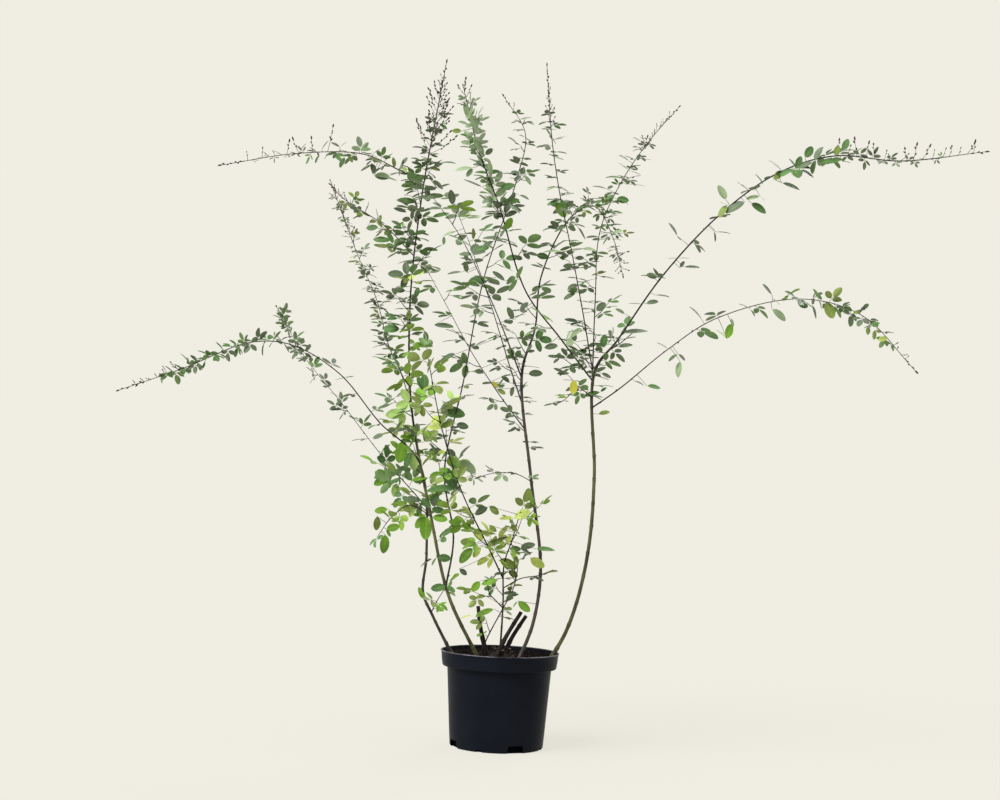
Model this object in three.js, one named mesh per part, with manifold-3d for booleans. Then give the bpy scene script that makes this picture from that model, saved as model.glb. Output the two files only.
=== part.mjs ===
// Potted thunberg bush clover in its autumn state: long arching canes in a black nursery pot.
// Millimetres, +Z up. The origin is the middle of the pot's flat underside.

import * as THREE from "three";
import { mergeVertices } from "three/addons/utils/BufferGeometryUtils.js";
import Module from "manifold-3d";

const wasm = await Module();
wasm.setup();

// Clearance between touching pieces
const GAP = 0.3;

// Pot: a tapered wall under a wider rolled band, on a foot ring with drain notches
const POT_HEIGHT = 180;
const RIM_RADIUS = 113;
const BAND_HEIGHT = 30;
const BAND_FOOT_RADIUS = 108.5;
const WALL_TOP_RADIUS = 99;
const FOOT_RADIUS = 88.5;
const WALL = 1.6;
const LIP = 2.6;
const FOOT_BEVEL = 3;
const FLOOR_RISE = 9;
const FLOOR_THICKNESS = 2;
const FOOT_RING_WIDTH = 4;
const CENTRE_RADIUS = 58;
const CENTRE_SLOPE = 2;
const POT_SEGMENTS = 32;
const BAND_FOOT = POT_HEIGHT - BAND_HEIGHT;
const FLOOR_TOP = FLOOR_RISE + FLOOR_THICKNESS;
const BAND_INNER = BAND_FOOT_RADIUS - WALL;

// Drain notches, four wide and four narrow in turn, as bearings from the front
const NOTCH_COUNT = 8;
const FIRST_NOTCH = THREE.MathUtils.degToRad(24);
const NOTCH_HEIGHT = 7.5;
const NOTCH_WIDTHS = [30, 12];
const NOTCH_SLOPE = 3;
const NOTCH_DEPTH = 12;
const NOTCH_OVERCUT = 1;

// Soil and the woody crown in it
const SOIL_TOP = 170;
const FOOT_LEVEL = SOIL_TOP + GAP;
const CROWN = { x: 2, y: -14, radius: 30, height: 15, segments: 10, rings: 3 };

// Cut stubs of old stems: the middle of the foot, of the bend and of the cut end
const STUB_RADII = [5.1, 3.9, 3.5];
const STUBS = {
  stub_left: [[-25, -15, SOIL_TOP], [-38, -15, 220], [-45, -15, 263]],
  stub_right_front: [[-8, -37, SOIL_TOP], [13, -36, 215], [37, -35, 257]],
  stub_right_back: [[6, 5, SOIL_TOP], [24, 5, 209], [47, 5, 247]],
};

// Stems: sides of a limb and of a leafy stem, ring spacing, the side where the corners start,
// and the flare at the soil. Side shoots start inside their parent and are cut clear of it.
const LIMB_SIDES = 6;
const TWIG_SIDES = 3;
const LIMB_STEP = 75;
const TWIG_STEP = 55;
const CURVE_DIVISIONS = 600;
const SEAM_SIDE = new THREE.Vector3(0.3, -1, 0.1);
const FLARE = 0.55;
const FLARE_HEIGHT = 16;

// Leaves: three leaflets round a joint at the end of one stalk, as shares of a leaflet's length
const LEAFLET = { widest: 0.45, width: 0.6, side: 0.86, droop: [0.05, 0.17] };
const SIDE_ANGLE = THREE.MathUtils.degToRad(70);
const SIDE_TURN = 0.1;
const END_STALK = 4;
const SIDE_STALK = 1;
const NOTCH_REACH = 1.6;
const LEAF_THICKNESS = 1.8;
const STALK_WIDTH = 1.7;
const ROOT_WIDTH = 0.9;
const ROOT_DEPTH = 0.7;

// How leaves vary, how often another turn is tried, and what they keep clear of
const LEAF_SIZES = [0.88, 1.12];
const NODE_SPACINGS = [0.85, 1.15];
const LEAN_TURN = 0.2;
const BEARING_TURN = 0.5;
const NEXT_BEARING = 0.9;
const LEAF_TRIES = 5;
const LEAF_CLEARANCE = 0.6;
const LOWEST_LEAF = 200;
const LEAD = 9;
const TIP_SUNK = 3;
const TIP_LEAN = 0.2;

// Side twigs of a leafy stem, with a knee halfway where they bend upward
const TWIG_RADII = [1.5, 1.35, 1.2];
const TWIG_SIZES = [0.85, 1.15];
const TWIG_ANGLE = THREE.MathUtils.degToRad(48);
const TWIG_RISE = 0.35;
const NEXT_TWIG_BEARING = 1.3;
const KNEE_LEAF_BEARING = 1.9;
const TWIG_LEAF_SIZE = 0.92;

// Seed heads near the tips, smaller towards the end
const POD = { length: 13, width: 4.6, widest: 0.45, sunk: 1.4 };
const POD_SIZES = [1.15, 0.8];
const POD_ANGLE = THREE.MathUtils.degToRad(38);
const POD_TURN = 0.4;

// A tip mass carries leaves on this share of its stem, smaller towards the seed heads
const LEAFY_SHARE = 0.7;
const TIP_LEAF_SIZES = [1.1, 0.75];

// Faces and edges finer than this are merged in a finished mass, and corners of a turned shape
// nearer than this are one. Stretches skewed less than the last of these count as parallel.
const FINEST = 0.03;
const SAME_CORNER = 1e-3;
const PARALLEL = 1e-9;

// One turn of the leaf spiral, 137.5 degrees
const SPIRAL = Math.PI * (3 - Math.sqrt(5));

// How a mass is dressed. spacing: between leaf nodes; leaf: leaflet length; stalk: length;
// lean: angle between stem and stalk; tilt: how far leaves turn from level; twigs: every so
// many nodes a side twig; twig: its length; pods: seed heads on the last part of the stem.
const BUSHY = { spacing: 21, leaf: 37, stalk: 18, lean: 1.1, tilt: 0.9, twigs: 2, twig: 85, pods: 0 };
const FRESH = { spacing: 32, leaf: 39, stalk: 19, lean: 1.0, tilt: 0.8, twigs: 4, twig: 54, pods: 0 };
const LEAFY = { spacing: 51, leaf: 37, stalk: 19, lean: 1.15, tilt: 0.35, twigs: 4, twig: 50, pods: 0 };
const THIN = { spacing: 52, leaf: 34, stalk: 16, lean: 1.1, tilt: 0.4, twigs: 5, twig: 40, pods: 0 };
const TIP = { spacing: 47, leaf: 33, stalk: 15, lean: 1.0, tilt: 0.4, twigs: 5, twig: 40, pods: 5 };
const BARE_TIP = { spacing: 40, leaf: 26, stalk: 11, lean: 0.9, tilt: 0.5, twigs: 6, twig: 40, pods: 5 };

// Shoots of the plant. from: the shoot it leaves and the height there; via: the few places
// that it passes; radius: at its foot and tip; pieces: its solids in turn, each with the share
// of the length where it ends and, for a mass of leaves, how it is dressed.
const SHOOTS = {
  left: {
    via: [
      [-92, 0, SOIL_TOP], [-130, -10, 240], [-150, -22, 285], [-146, -38, 360], [-165, -80, 530],
      [-240, -110, 600], [-315, -145, 685], [-400, -178, 731], [-470, -205, 730], [-580, -250, 675],
      [-680, -290, 630],
    ],
    radius: [2.9, 1.5],
    pieces: [
      ["left_cane", 0.37], ["left_arch_bough", 0.5],
      ["left_arch_leaves_1", 0.72, THIN], ["left_arch_leaves_2", 1, TIP],
    ],
  },
  tall: {
    via: [
      [-42, -40, SOIL_TOP], [-100, -70, 285], [-140, -80, 435], [-185, -70, 635],
      [-197, -58, 830], [-185, -50, 1030], [-150, -30, 1300],
    ],
    radius: [4.3, 1.5],
    pieces: [
      ["tall_cane", 0.39], ["tall_leaves_1", 0.54, LEAFY], ["tall_leaves_2", 0.68, LEAFY],
      ["tall_leaves_3", 0.82, LEAFY], ["tall_top", 1, TIP],
    ],
  },
  centre: {
    via: [[0, -20, SOIL_TOP], [2, -30, 270], [1, -40, 345], [14, -60, 392], [27, -80, 445]],
    radius: [3.2, 1.7],
    pieces: [["centre_cane", 0.55], ["centre_leaves", 1, BUSHY]],
  },
  middle: {
    via: [
      [36, -56, SOIL_TOP], [60, -50, 240], [70, -42, 340], [45, -30, 510], [20, -10, 710],
      [42, 20, 800], [50, 60, 905], [105, 150, 1040], [160, 225, 1080], [205, 300, 1025],
      [230, 340, 955],
    ],
    radius: [4.0, 1.5],
    pieces: [
      ["middle_cane", 0.45], ["middle_arch_bough", 0.51],
      ["middle_arch_leaves_1", 0.78, LEAFY], ["middle_arch_leaves_2", 1, TIP],
    ],
  },
  right: {
    via: [
      [98, 0, SOIL_TOP], [124, -5, 222], [147, -10, 300], [162, -14, 400], [166, -8, 520],
      [160, 0, 720], [200, -20, 780], [277, -75, 900], [374, -140, 1010], [470, -190, 1080],
      [560, -230, 1105], [670, -270, 1092], [805, -310, 1105],
    ],
    radius: [3.7, 1.5],
    pieces: [
      ["right_cane", 0.395], ["right_high_bough", 0.46],
      ["right_high_leaves_1", 0.8, LEAFY], ["right_high_leaves_2", 1, BARE_TIP],
    ],
  },
  left_wisp: {
    from: ["left", 515],
    via: [[-205, 20, 680], [-245, 90, 760], [-280, 160, 860], [-330, 230, 960], [-405, 320, 1130]],
    radius: [2.0, 1.4],
    pieces: [["left_wisp_bough", 0.32], ["left_wisp_leaves", 1, TIP]],
  },
  left_back: {
    from: ["tall", 440],
    via: [[-245, 60, 540], [-345, 180, 650], [-435, 280, 745], [-515, 380, 860]],
    radius: [2.1, 1.4],
    pieces: [["left_back_bough", 0.45], ["left_back_leaves", 1, TIP]],
  },
  diagonal: {
    from: ["tall", 300],
    via: [
      [-97, -25, 390], [-122, 40, 515], [-95, 120, 700], [-65, 190, 915], [-5, 255, 1140],
      [8, 275, 1240], [-40, 290, 1320],
    ],
    radius: [2.7, 1.4],
    pieces: [
      ["diagonal_bough", 0.42], ["diagonal_leaves_1", 0.72, LEAFY], ["diagonal_leaves_2", 1, TIP],
    ],
  },
  left_high: {
    from: ["tall", 1062],
    via: [[-230, -90, 1078], [-290, -130, 1095], [-400, -210, 1075], [-520, -300, 1030]],
    radius: [1.8, 1.4],
    pieces: [["left_high_leaves_1", 0.5, LEAFY], ["left_high_leaves_2", 1, BARE_TIP]],
  },
  left_mid: {
    from: ["tall", 920],
    via: [[-260, 30, 990], [-350, 120, 1055], [-385, 152, 1090]],
    radius: [1.8, 1.4],
    pieces: [["left_mid_leaves", 1, LEAFY]],
  },
  left_droop: {
    from: ["tall", 430],
    via: [[-176, -130, 450], [-206, -180, 426], [-224, -215, 396]],
    radius: [1.8, 1.4],
    pieces: [["left_droop_leaves", 1, FRESH]],
  },
  foot: {
    from: ["left", 246],
    via: [[-122, -34, 272], [-106, -48, 300]],
    radius: [1.7, 1.4],
    pieces: [["foot_leaves", 1, FRESH]],
  },
  inner: {
    from: ["centre", 318],
    via: [[-30, -75, 378], [-82, -150, 480], [-120, -213, 590], [-150, -258, 720]],
    radius: [2.2, 1.4],
    pieces: [
      ["inner_bough", 0.12], ["inner_leaves_1", 0.55, FRESH], ["inner_leaves_2", 1, FRESH],
    ],
  },
  up_left: {
    from: ["middle", 700],
    via: [[-25, -60, 800], [-60, -100, 870], [-105, -165, 945], [-160, -228, 1010]],
    radius: [2.0, 1.4],
    pieces: [["up_left_bough", 0.28], ["up_left_leaves", 1, LEAFY]],
  },
  middle_back: {
    from: ["middle", 648],
    via: [[-5, 60, 730], [-50, 150, 865], [-95, 230, 985], [-140, 295, 1095]],
    radius: [2.0, 1.4],
    pieces: [["middle_back_bough", 0.32], ["middle_back_leaves", 1, LEAFY]],
  },
  low_left: {
    from: ["middle", 600],
    via: [[-25, 70, 675], [-85, 170, 765], [-150, 280, 880], [-200, 345, 965]],
    radius: [2.0, 1.4],
    pieces: [["low_left_bough", 0.3], ["low_left_leaves", 1, LEAFY]],
  },
  small_arch: {
    from: ["middle", 503],
    via: [[15, -80, 516], [-25, -130, 515], [-58, -172, 503]],
    radius: [1.7, 1.4],
    pieces: [["small_arch_leaves", 1, THIN]],
  },
  right_low: {
    from: ["right", 648],
    via: [
      [205, -50, 685], [285, -140, 755], [360, -230, 805], [485, -350, 830], [575, -420, 798],
      [650, -480, 705],
    ],
    radius: [2.2, 1.4],
    pieces: [
      ["right_low_bough", 0.38], ["right_low_leaves_1", 0.7, THIN], ["right_low_leaves_2", 1, TIP],
    ],
  },
  right_lean: {
    from: ["right", 690],
    via: [[160, 90, 870], [170, 200, 1025], [215, 290, 1145], [275, 360, 1250], [345, 420, 1345]],
    radius: [2.1, 1.4],
    pieces: [["right_lean_bough", 0.32], ["right_lean_leaves", 1, TIP]],
  },
  cross_left: {
    from: ["right", 700],
    via: [[90, -50, 775], [20, -110, 855], [-35, -210, 995], [-75, -262, 1085], [-105, -305, 1185]],
    radius: [2.1, 1.4],
    pieces: [
      ["cross_left_bough", 0.16], ["cross_left_leaves_1", 0.6, LEAFY],
      ["cross_left_leaves_2", 1, TIP],
    ],
  },
  slender: {
    from: ["right", 709],
    via: [[137, 35, 822], [109, 70, 959], [82, 95, 1077], [62, 110, 1190], [46, 125, 1345]],
    radius: [2.1, 1.4],
    pieces: [["slender_bough", 0.24], ["slender_leaves", 1, TIP]],
  },
  fork: {
    from: ["right", 668],
    via: [[134, -40, 680], [108, -78, 668]],
    radius: [1.7, 1.4],
    pieces: [["fork_leaves", 1, THIN]],
  },
};

// Colours
const POT_BLACK = new THREE.Color(0x1b1d24);
const SOIL_BROWN = new THREE.Color(0x3a2b20);
const BARK_BROWN = new THREE.Color(0x4a3f2c);
const STUB_DARK = new THREE.Color(0x241e1b);
const LEAF_GREEN = new THREE.Color(0x5f7f45);
const LEAF_BRIGHT = new THREE.Color(0x86a846);

function material(color, roughness) {
  return new THREE.MeshStandardMaterial({ color, roughness, metalness: 0, flatShading: true });
}

const POT_FINISH = material(POT_BLACK, 0.45);
const SOIL_FINISH = material(SOIL_BROWN, 0.95);
const BARK_FINISH = material(BARK_BROWN, 0.75);
const STUB_FINISH = material(STUB_DARK, 0.85);
const GREEN_FINISH = material(LEAF_GREEN, 0.6);
const BRIGHT_FINISH = material(LEAF_BRIGHT, 0.55);

const UP = new THREE.Vector3(0, 0, 1);

// The same numbers each time, between 0 and 1
function seeded(seed) {
  const modulus = 2147483647;
  let state = (seed * 7919 + 12345) % modulus;
  return () => {
    state = (state * 48271) % modulus;
    return state / modulus;
  };
}

function spread(random, reach) {
  return (random() * 2 - 1) * reach;
}

function between(random, [low, high]) {
  return low + (high - low) * random();
}

// Solids from a geometry or from plain corners and faces
function solidOf(positions, indices) {
  return new wasm.Manifold(new wasm.Mesh({
    numProp: 3,
    vertProperties: new Float32Array(positions),
    triVerts: new Uint32Array(indices),
  }));
}

function solidFromGeometry(geometry) {
  geometry.deleteAttribute("normal");
  geometry.deleteAttribute("uv");
  const merged = mergeVertices(geometry, SAME_CORNER);
  return solidOf(merged.attributes.position.array, merged.index.array);
}

function geometryOf(solid) {
  const mesh = solid.getMesh();
  const geometry = new THREE.BufferGeometry();
  geometry.setAttribute("position", new THREE.BufferAttribute(mesh.vertProperties, 3));
  geometry.setIndex(new THREE.BufferAttribute(mesh.triVerts, 1));
  geometry.computeVertexNormals();
  return geometry;
}

// The largest body of a joined solid, with sealed hollows filled and scraps dropped
function mainBody(solid) {
  const bodies = solid.decompose();
  return bodies.reduce((best, body) => (body.volume() > best.volume() ? body : best));
}

// A turned shape from radius and height pairs that start and end on the axis
function turned(profile, segments) {
  const points = profile.map(([radius, height]) => new THREE.Vector2(radius, height));
  const geometry = new THREE.LatheGeometry(points, segments);
  geometry.rotateX(Math.PI / 2);
  return solidFromGeometry(geometry);
}

function wallRadius(height) {
  return THREE.MathUtils.lerp(FOOT_RADIUS, WALL_TOP_RADIUS, height / BAND_FOOT);
}

function potSolid() {
  const profile = [
    [0, 0],
    [CENTRE_RADIUS, 0],
    [CENTRE_RADIUS + CENTRE_SLOPE, FLOOR_RISE],
    [FOOT_RADIUS - FOOT_RING_WIDTH, FLOOR_RISE],
    [FOOT_RADIUS - FOOT_RING_WIDTH, 0],
    [FOOT_RADIUS - FOOT_BEVEL / 2, 0],
    [wallRadius(FOOT_BEVEL), FOOT_BEVEL],
    [WALL_TOP_RADIUS, BAND_FOOT],
    [BAND_FOOT_RADIUS, BAND_FOOT],
    [RIM_RADIUS - LIP / 2, POT_HEIGHT - LIP],
    [RIM_RADIUS, POT_HEIGHT - LIP / 2],
    [RIM_RADIUS - LIP / 2, POT_HEIGHT],
    [RIM_RADIUS - LIP, POT_HEIGHT - LIP / 2],
    [BAND_INNER, BAND_FOOT + WALL],
    [WALL_TOP_RADIUS - WALL, BAND_FOOT + WALL],
    [wallRadius(FLOOR_TOP) - WALL, FLOOR_TOP],
    [CENTRE_RADIUS, FLOOR_TOP],
    [CENTRE_RADIUS - CENTRE_SLOPE, FLOOR_THICKNESS],
    [0, FLOOR_THICKNESS],
  ];
  let pot = turned(profile, POT_SEGMENTS);
  for (let i = 0; i < NOTCH_COUNT; i++) {
    const bearing = FIRST_NOTCH + (i / NOTCH_COUNT) * 2 * Math.PI;
    pot = pot.subtract(notchCutter(NOTCH_WIDTHS[i % NOTCH_WIDTHS.length], bearing));
  }
  return pot;
}

// A flat-topped trapezoid that cuts the foot ring from outside, wider at the bottom
function notchCutter(width, bearing) {
  const outline = new THREE.Shape();
  outline.moveTo(-width / 2, -NOTCH_OVERCUT);
  outline.lineTo(width / 2, -NOTCH_OVERCUT);
  outline.lineTo(width / 2 - NOTCH_SLOPE, NOTCH_HEIGHT);
  outline.lineTo(-width / 2 + NOTCH_SLOPE, NOTCH_HEIGHT);
  outline.closePath();
  const geometry = new THREE.ExtrudeGeometry(outline, { depth: NOTCH_DEPTH, bevelEnabled: false });
  geometry.rotateX(Math.PI / 2);
  geometry.translate(0, -FOOT_RADIUS + NOTCH_DEPTH - FOOT_RING_WIDTH, 0);
  geometry.rotateZ(bearing);
  return solidFromGeometry(geometry);
}

// Soil fills the pot up to a level below the lip
function soilSolid() {
  const bandShare = (SOIL_TOP - BAND_FOOT - WALL) / (BAND_HEIGHT - WALL - LIP / 2);
  const topRadius = THREE.MathUtils.lerp(BAND_INNER, RIM_RADIUS - LIP, bandShare) - GAP;
  const floor = FLOOR_TOP + GAP;
  const shelf = BAND_FOOT + WALL + GAP;
  return turned([
    [0, FLOOR_THICKNESS + GAP],
    [CENTRE_RADIUS - CENTRE_SLOPE - 2 * GAP, FLOOR_THICKNESS + GAP],
    [CENTRE_RADIUS - 2 * GAP, floor],
    [wallRadius(floor) - WALL - 2 * GAP, floor],
    [wallRadius(shelf) - WALL - 2 * GAP, shelf],
    [BAND_INNER - GAP, shelf],
    [topRadius, SOIL_TOP],
    [0, SOIL_TOP],
  ], POT_SEGMENTS);
}

// A line from plain places, whose direction at each place is the mean of its two stretches
function bentLine(places, radii) {
  const last = places.length - 1;
  const alongs = places.map((_, i) => {
    const [before, after] = [places[Math.max(i - 1, 0)], places[Math.min(i + 1, last)]];
    return new THREE.Vector3().subVectors(after, before).normalize();
  });
  return { places, radii, alongs };
}

// Closed tube of rings round a line. With a foot height the first ring is slid along the stem
// into that level, which leaves a flat cut.
function tube({ places, radii, alongs }, sides, footHeight = null) {
  const last = places.length - 1;
  const positions = [];
  const indices = [];
  let across = SEAM_SIDE;
  for (let i = 0; i <= last; i++) {
    const along = alongs[i];
    across = across.clone().addScaledVector(along, -across.dot(along)).normalize();
    const other = new THREE.Vector3().crossVectors(along, across);
    for (let k = 0; k < sides; k++) {
      const angle = (k / sides) * 2 * Math.PI;
      const corner = places[i].clone();
      corner.addScaledVector(across, Math.cos(angle) * radii[i]);
      corner.addScaledVector(other, Math.sin(angle) * radii[i]);
      if (i === 0 && footHeight !== null) {
        corner.addScaledVector(along, (footHeight - corner.z) / along.z);
      }
      positions.push(corner.x, corner.y, corner.z);
    }
  }
  for (let i = 0; i < last; i++) {
    for (let k = 0; k < sides; k++) {
      const next = (k + 1) % sides;
      const [a, b] = [i * sides + k, i * sides + next];
      indices.push(a, b, b + sides, a, b + sides, a + sides);
    }
  }
  for (let k = 1; k < sides - 1; k++) {
    indices.push(0, k + 1, k);
    indices.push(last * sides, last * sides + k, last * sides + k + 1);
  }
  return solidOf(positions, indices);
}

// A seed head: a three-sided spindle with its root in the stem
function podSolid(root, along, length, width) {
  const middle = root.clone().addScaledVector(along, length * POD.widest);
  const corners = [root, root.clone().addScaledVector(along, length)];
  for (let k = 0; k < TWIG_SIDES; k++) {
    const out = sideways(along, (k / TWIG_SIDES) * 2 * Math.PI);
    corners.push(middle.clone().addScaledVector(out, width / 2));
  }
  const faces = [0, 3, 2, 0, 4, 3, 0, 2, 4, 1, 2, 3, 1, 3, 4, 1, 4, 2];
  return solidOf(corners.flatMap((corner) => corner.toArray()), faces);
}

// Shortest distance between two straight stretches
function distanceBetween(first, second) {
  const u = new THREE.Vector3().subVectors(first.to, first.from);
  const v = new THREE.Vector3().subVectors(second.to, second.from);
  const w = new THREE.Vector3().subVectors(first.from, second.from);
  const a = u.dot(u);
  const b = u.dot(v);
  const c = v.dot(v);
  const d = u.dot(w);
  const e = v.dot(w);
  const clamp = (value) => Math.min(1, Math.max(0, value));
  const skew = a * c - b * b;
  let s = skew > PARALLEL ? clamp((b * e - c * d) / skew) : 0;
  const t = clamp((b * s + e) / c);
  s = clamp((b * t - d) / a);
  return w.addScaledVector(u, s).addScaledVector(v, -t).length();
}

// A shoot as a smooth curve with a tapering radius
class Shoot {
  constructor(plan) {
    this.plan = plan;
    const places = plan.via.map((place) => new THREE.Vector3(...place));
    if (plan.from) {
      const [parent, height] = plan.from;
      places.unshift(shoots[parent].placeAtHeight(height));
    }
    this.curve = new THREE.CatmullRomCurve3(places, false, "centripetal");
    this.curve.arcLengthDivisions = CURVE_DIVISIONS;
    this.length = this.curve.getLength();
  }

  place(distance) {
    return this.curve.getPointAt(Math.min(1, Math.max(0, distance / this.length)));
  }

  along(distance) {
    return this.curve.getTangentAt(Math.min(1, Math.max(0, distance / this.length)));
  }

  radius(distance) {
    const [foot, tip] = this.plan.radius;
    const plain = THREE.MathUtils.lerp(foot, tip, distance / this.length);
    const flare = this.plan.from ? 0 : FLARE * Math.exp(-distance / FLARE_HEIGHT);
    return plain * (1 + flare);
  }

  // The lowest place of the curve at a height
  placeAtHeight(height) {
    let distance = 0;
    while (this.place(distance).z < height) {
      distance += 1;
    }
    return this.place(distance);
  }
}

// A line of places, radii and directions along a shoot, closer together near the soil
function stretch(shoot, start, end, step) {
  const count = Math.max(2, Math.round((end - start) / step));
  const distances = Array.from({ length: count + 1 }, (_, i) => start + ((end - start) * i) / count);
  if (start === 0 && !shoot.plan.from) {
    distances.splice(1, 0, FLARE_HEIGHT / 2, FLARE_HEIGHT * 2);
  }
  return {
    distances,
    places: distances.map((distance) => shoot.place(distance)),
    radii: distances.map((distance) => shoot.radius(distance)),
    alongs: distances.map((distance) => shoot.along(distance)),
  };
}

// The place on the straight stretches of a line, where twigs and leaves take root
function rootOn({ distances, places }, distance) {
  const next = distances.findIndex((one) => one >= distance);
  const [before, after] = [distances[next - 1], distances[next]];
  return places[next - 1].clone().lerp(places[next], (distance - before) / (after - before));
}

// Space that is already taken, as straight round-ended stretches of one node each
const taken = [];

function claim(node, kind, stretches) {
  for (const one of stretches) {
    taken.push({ ...one, node, kind });
  }
}

function isClear(node, stretches) {
  return stretches.every((one) => taken.every((other) => {
    if (other.node === node && other.kind === "wood") {
      return true;
    }
    return distanceBetween(one, other) > one.radius + other.radius + LEAF_CLEARANCE;
  }));
}

function stretchesOf({ places, radii }) {
  return places.slice(1).map((place, i) => ({
    from: places[i], to: place, radius: Math.max(radii[i], radii[i + 1]),
  }));
}

// Every piece of wood in turn, cut clear of the wood made before it
const pieces = [];

function growWood(name, line, sides, footHeight, shootName) {
  let solid = tube(line, sides, footHeight);
  const box = solid.boundingBox();
  for (const other of pieces) {
    if (other.shootName !== shootName && boxesMeet(box, other.box)) {
      solid = solid.subtract(other.swollen);
    }
  }
  solid = mainBody(solid);
  const wide = line.radii.map((radius) => radius + GAP / Math.cos(Math.PI / sides));
  const swollenFoot = footHeight === null ? null : footHeight - GAP;
  const swollen = tube({ ...line, radii: wide }, sides, swollenFoot);
  pieces.push({ shootName, swollen, box: swollen.boundingBox() });
  claim(name, "wood", stretchesOf(line));
  return solid;
}

function boxesMeet(first, second) {
  return [0, 1, 2].every((i) => first.min[i] < second.max[i] && second.min[i] < first.max[i]);
}

// A direction at an angle round a stem, square to it
function sideways(along, angle) {
  const level = new THREE.Vector3(1, 0, 0);
  const across = level.addScaledVector(along, -level.dot(along)).normalize();
  const other = new THREE.Vector3().crossVectors(along, across);
  return across.multiplyScalar(Math.cos(angle)).addScaledVector(other, Math.sin(angle));
}

// A leaf as one closed body and the space that it takes. Its outline runs round the three
// leaflets and down the stalk, with one corner above and one below the joint.
function leaf(root, direction, dress, scale, random) {
  const turn = new THREE.Vector3(spread(random, 1), spread(random, 1), spread(random, 1));
  const normal = UP.clone().addScaledVector(turn, dress.tilt);
  normal.addScaledVector(direction, -normal.dot(direction)).normalize();
  const left = new THREE.Vector3().crossVectors(normal, direction);
  const stalk = dress.stalk * scale;
  const joint = root.clone().addScaledVector(direction, stalk);
  const corner = (base, ahead, aside, above = 0) => base.clone().addScaledVector(direction, ahead)
    .addScaledVector(left, aside).addScaledVector(normal, above);

  const half = STALK_WIDTH / 2;
  const space = [{ from: root, to: joint, radius: half }];
  const outline = [corner(joint, -half, -half)];
  for (const side of [-1, 0, 1]) {
    const angle = side * SIDE_ANGLE + spread(random, SIDE_TURN);
    const [cos, sin] = [Math.cos(angle), Math.sin(angle)];
    const length = dress.leaf * scale * (side === 0 ? 1 : LEAFLET.side);
    const base = side === 0 ? END_STALK : SIDE_STALK;
    const wide = length * LEAFLET.width / 2;
    const drop = -length * between(random, LEAFLET.droop);
    const at = (ahead, aside, above) => {
      return corner(joint, cos * ahead - sin * aside, sin * ahead + cos * aside, above);
    };
    if (side > -1) {
      const notch = (side - 0.5) * SIDE_ANGLE;
      outline.push(corner(joint, NOTCH_REACH * Math.cos(notch), NOTCH_REACH * Math.sin(notch)));
    }
    const middle = base + length * LEAFLET.widest;
    outline.push(at(middle, -wide, 0), at(base + length, 0, drop), at(middle, wide, 0));
    space.push({
      from: at(base + wide, 0, 0), to: at(base + length - wide / 2, 0, drop), radius: wide,
    });
  }
  outline.push(corner(joint, -half, half));
  outline.push(corner(root, 0, ROOT_WIDTH / 2), corner(root, 0, -ROOT_WIDTH / 2));

  const count = outline.length;
  const [above, below, keel] = [count, count + 1, count + 2];
  const corners = [
    ...outline,
    corner(joint, 0, 0, LEAF_THICKNESS / 2),
    corner(joint, 0, 0, -LEAF_THICKNESS / 2),
    corner(root, 0, 0, -ROOT_DEPTH),
  ];
  const faces = [];
  for (let i = 0; i < count; i++) {
    faces.push(above, i, (i + 1) % count);
    if (i !== count - 2) {
      faces.push(below, (i + 1) % count, i);
    }
  }
  faces.push(below, keel, count - 2, below, count - 1, keel, count - 1, count - 2, keel);
  return { solid: solidOf(corners.flatMap((one) => one.toArray()), faces), space };
}

// Tries a few turns of a leaf at one place and keeps the first that is clear of everything
function addLeaf(node, solids, root, along, angle, dress, scale, random) {
  for (let attempt = 0; attempt < LEAF_TRIES; attempt++) {
    const lean = dress.lean + spread(random, LEAN_TURN);
    const bearing = angle + spread(random, BEARING_TURN) + attempt * NEXT_BEARING;
    const direction = sideways(along, bearing).multiplyScalar(Math.sin(lean));
    direction.addScaledVector(along, Math.cos(lean)).normalize();
    const made = leaf(root, direction, dress, scale * between(random, LEAF_SIZES), random);
    const high = made.space.every((one) => Math.min(one.from.z, one.to.z) > LOWEST_LEAF);
    if (high && isClear(node, made.space)) {
      solids.push(made.solid);
      claim(node, "leaf", made.space);
      return;
    }
  }
}

// A side twig that bends upward, with a leaf at its knee and one at its tip
function addTwig(node, solids, root, along, angle, dress, scale, random) {
  for (let attempt = 0; attempt < LEAF_TRIES; attempt++) {
    const out = sideways(along, angle + attempt * NEXT_TWIG_BEARING);
    const direction = out.multiplyScalar(Math.sin(TWIG_ANGLE));
    direction.addScaledVector(along, Math.cos(TWIG_ANGLE)).normalize();
    const half = (dress.twig * scale * between(random, TWIG_SIZES)) / 2;
    const knee = root.clone().addScaledVector(direction, half);
    const risen = direction.clone().addScaledVector(UP, TWIG_RISE).normalize();
    const end = knee.clone().addScaledVector(risen, half);
    const line = bentLine([root, knee, end], TWIG_RADII);
    const space = stretchesOf(line);
    if (isClear(node, space)) {
      solids.push(tube(line, TWIG_SIDES));
      claim(node, "wood", space);
      const size = scale * TWIG_LEAF_SIZE;
      const last = end.clone().addScaledVector(risen, -TIP_SUNK);
      const tipDress = { ...dress, lean: TIP_LEAN };
      addLeaf(node, solids, knee, direction, angle + KNEE_LEAF_BEARING, dress, size, random);
      addLeaf(node, solids, last, risen, angle, tipDress, size, random);
      return;
    }
  }
}

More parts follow.
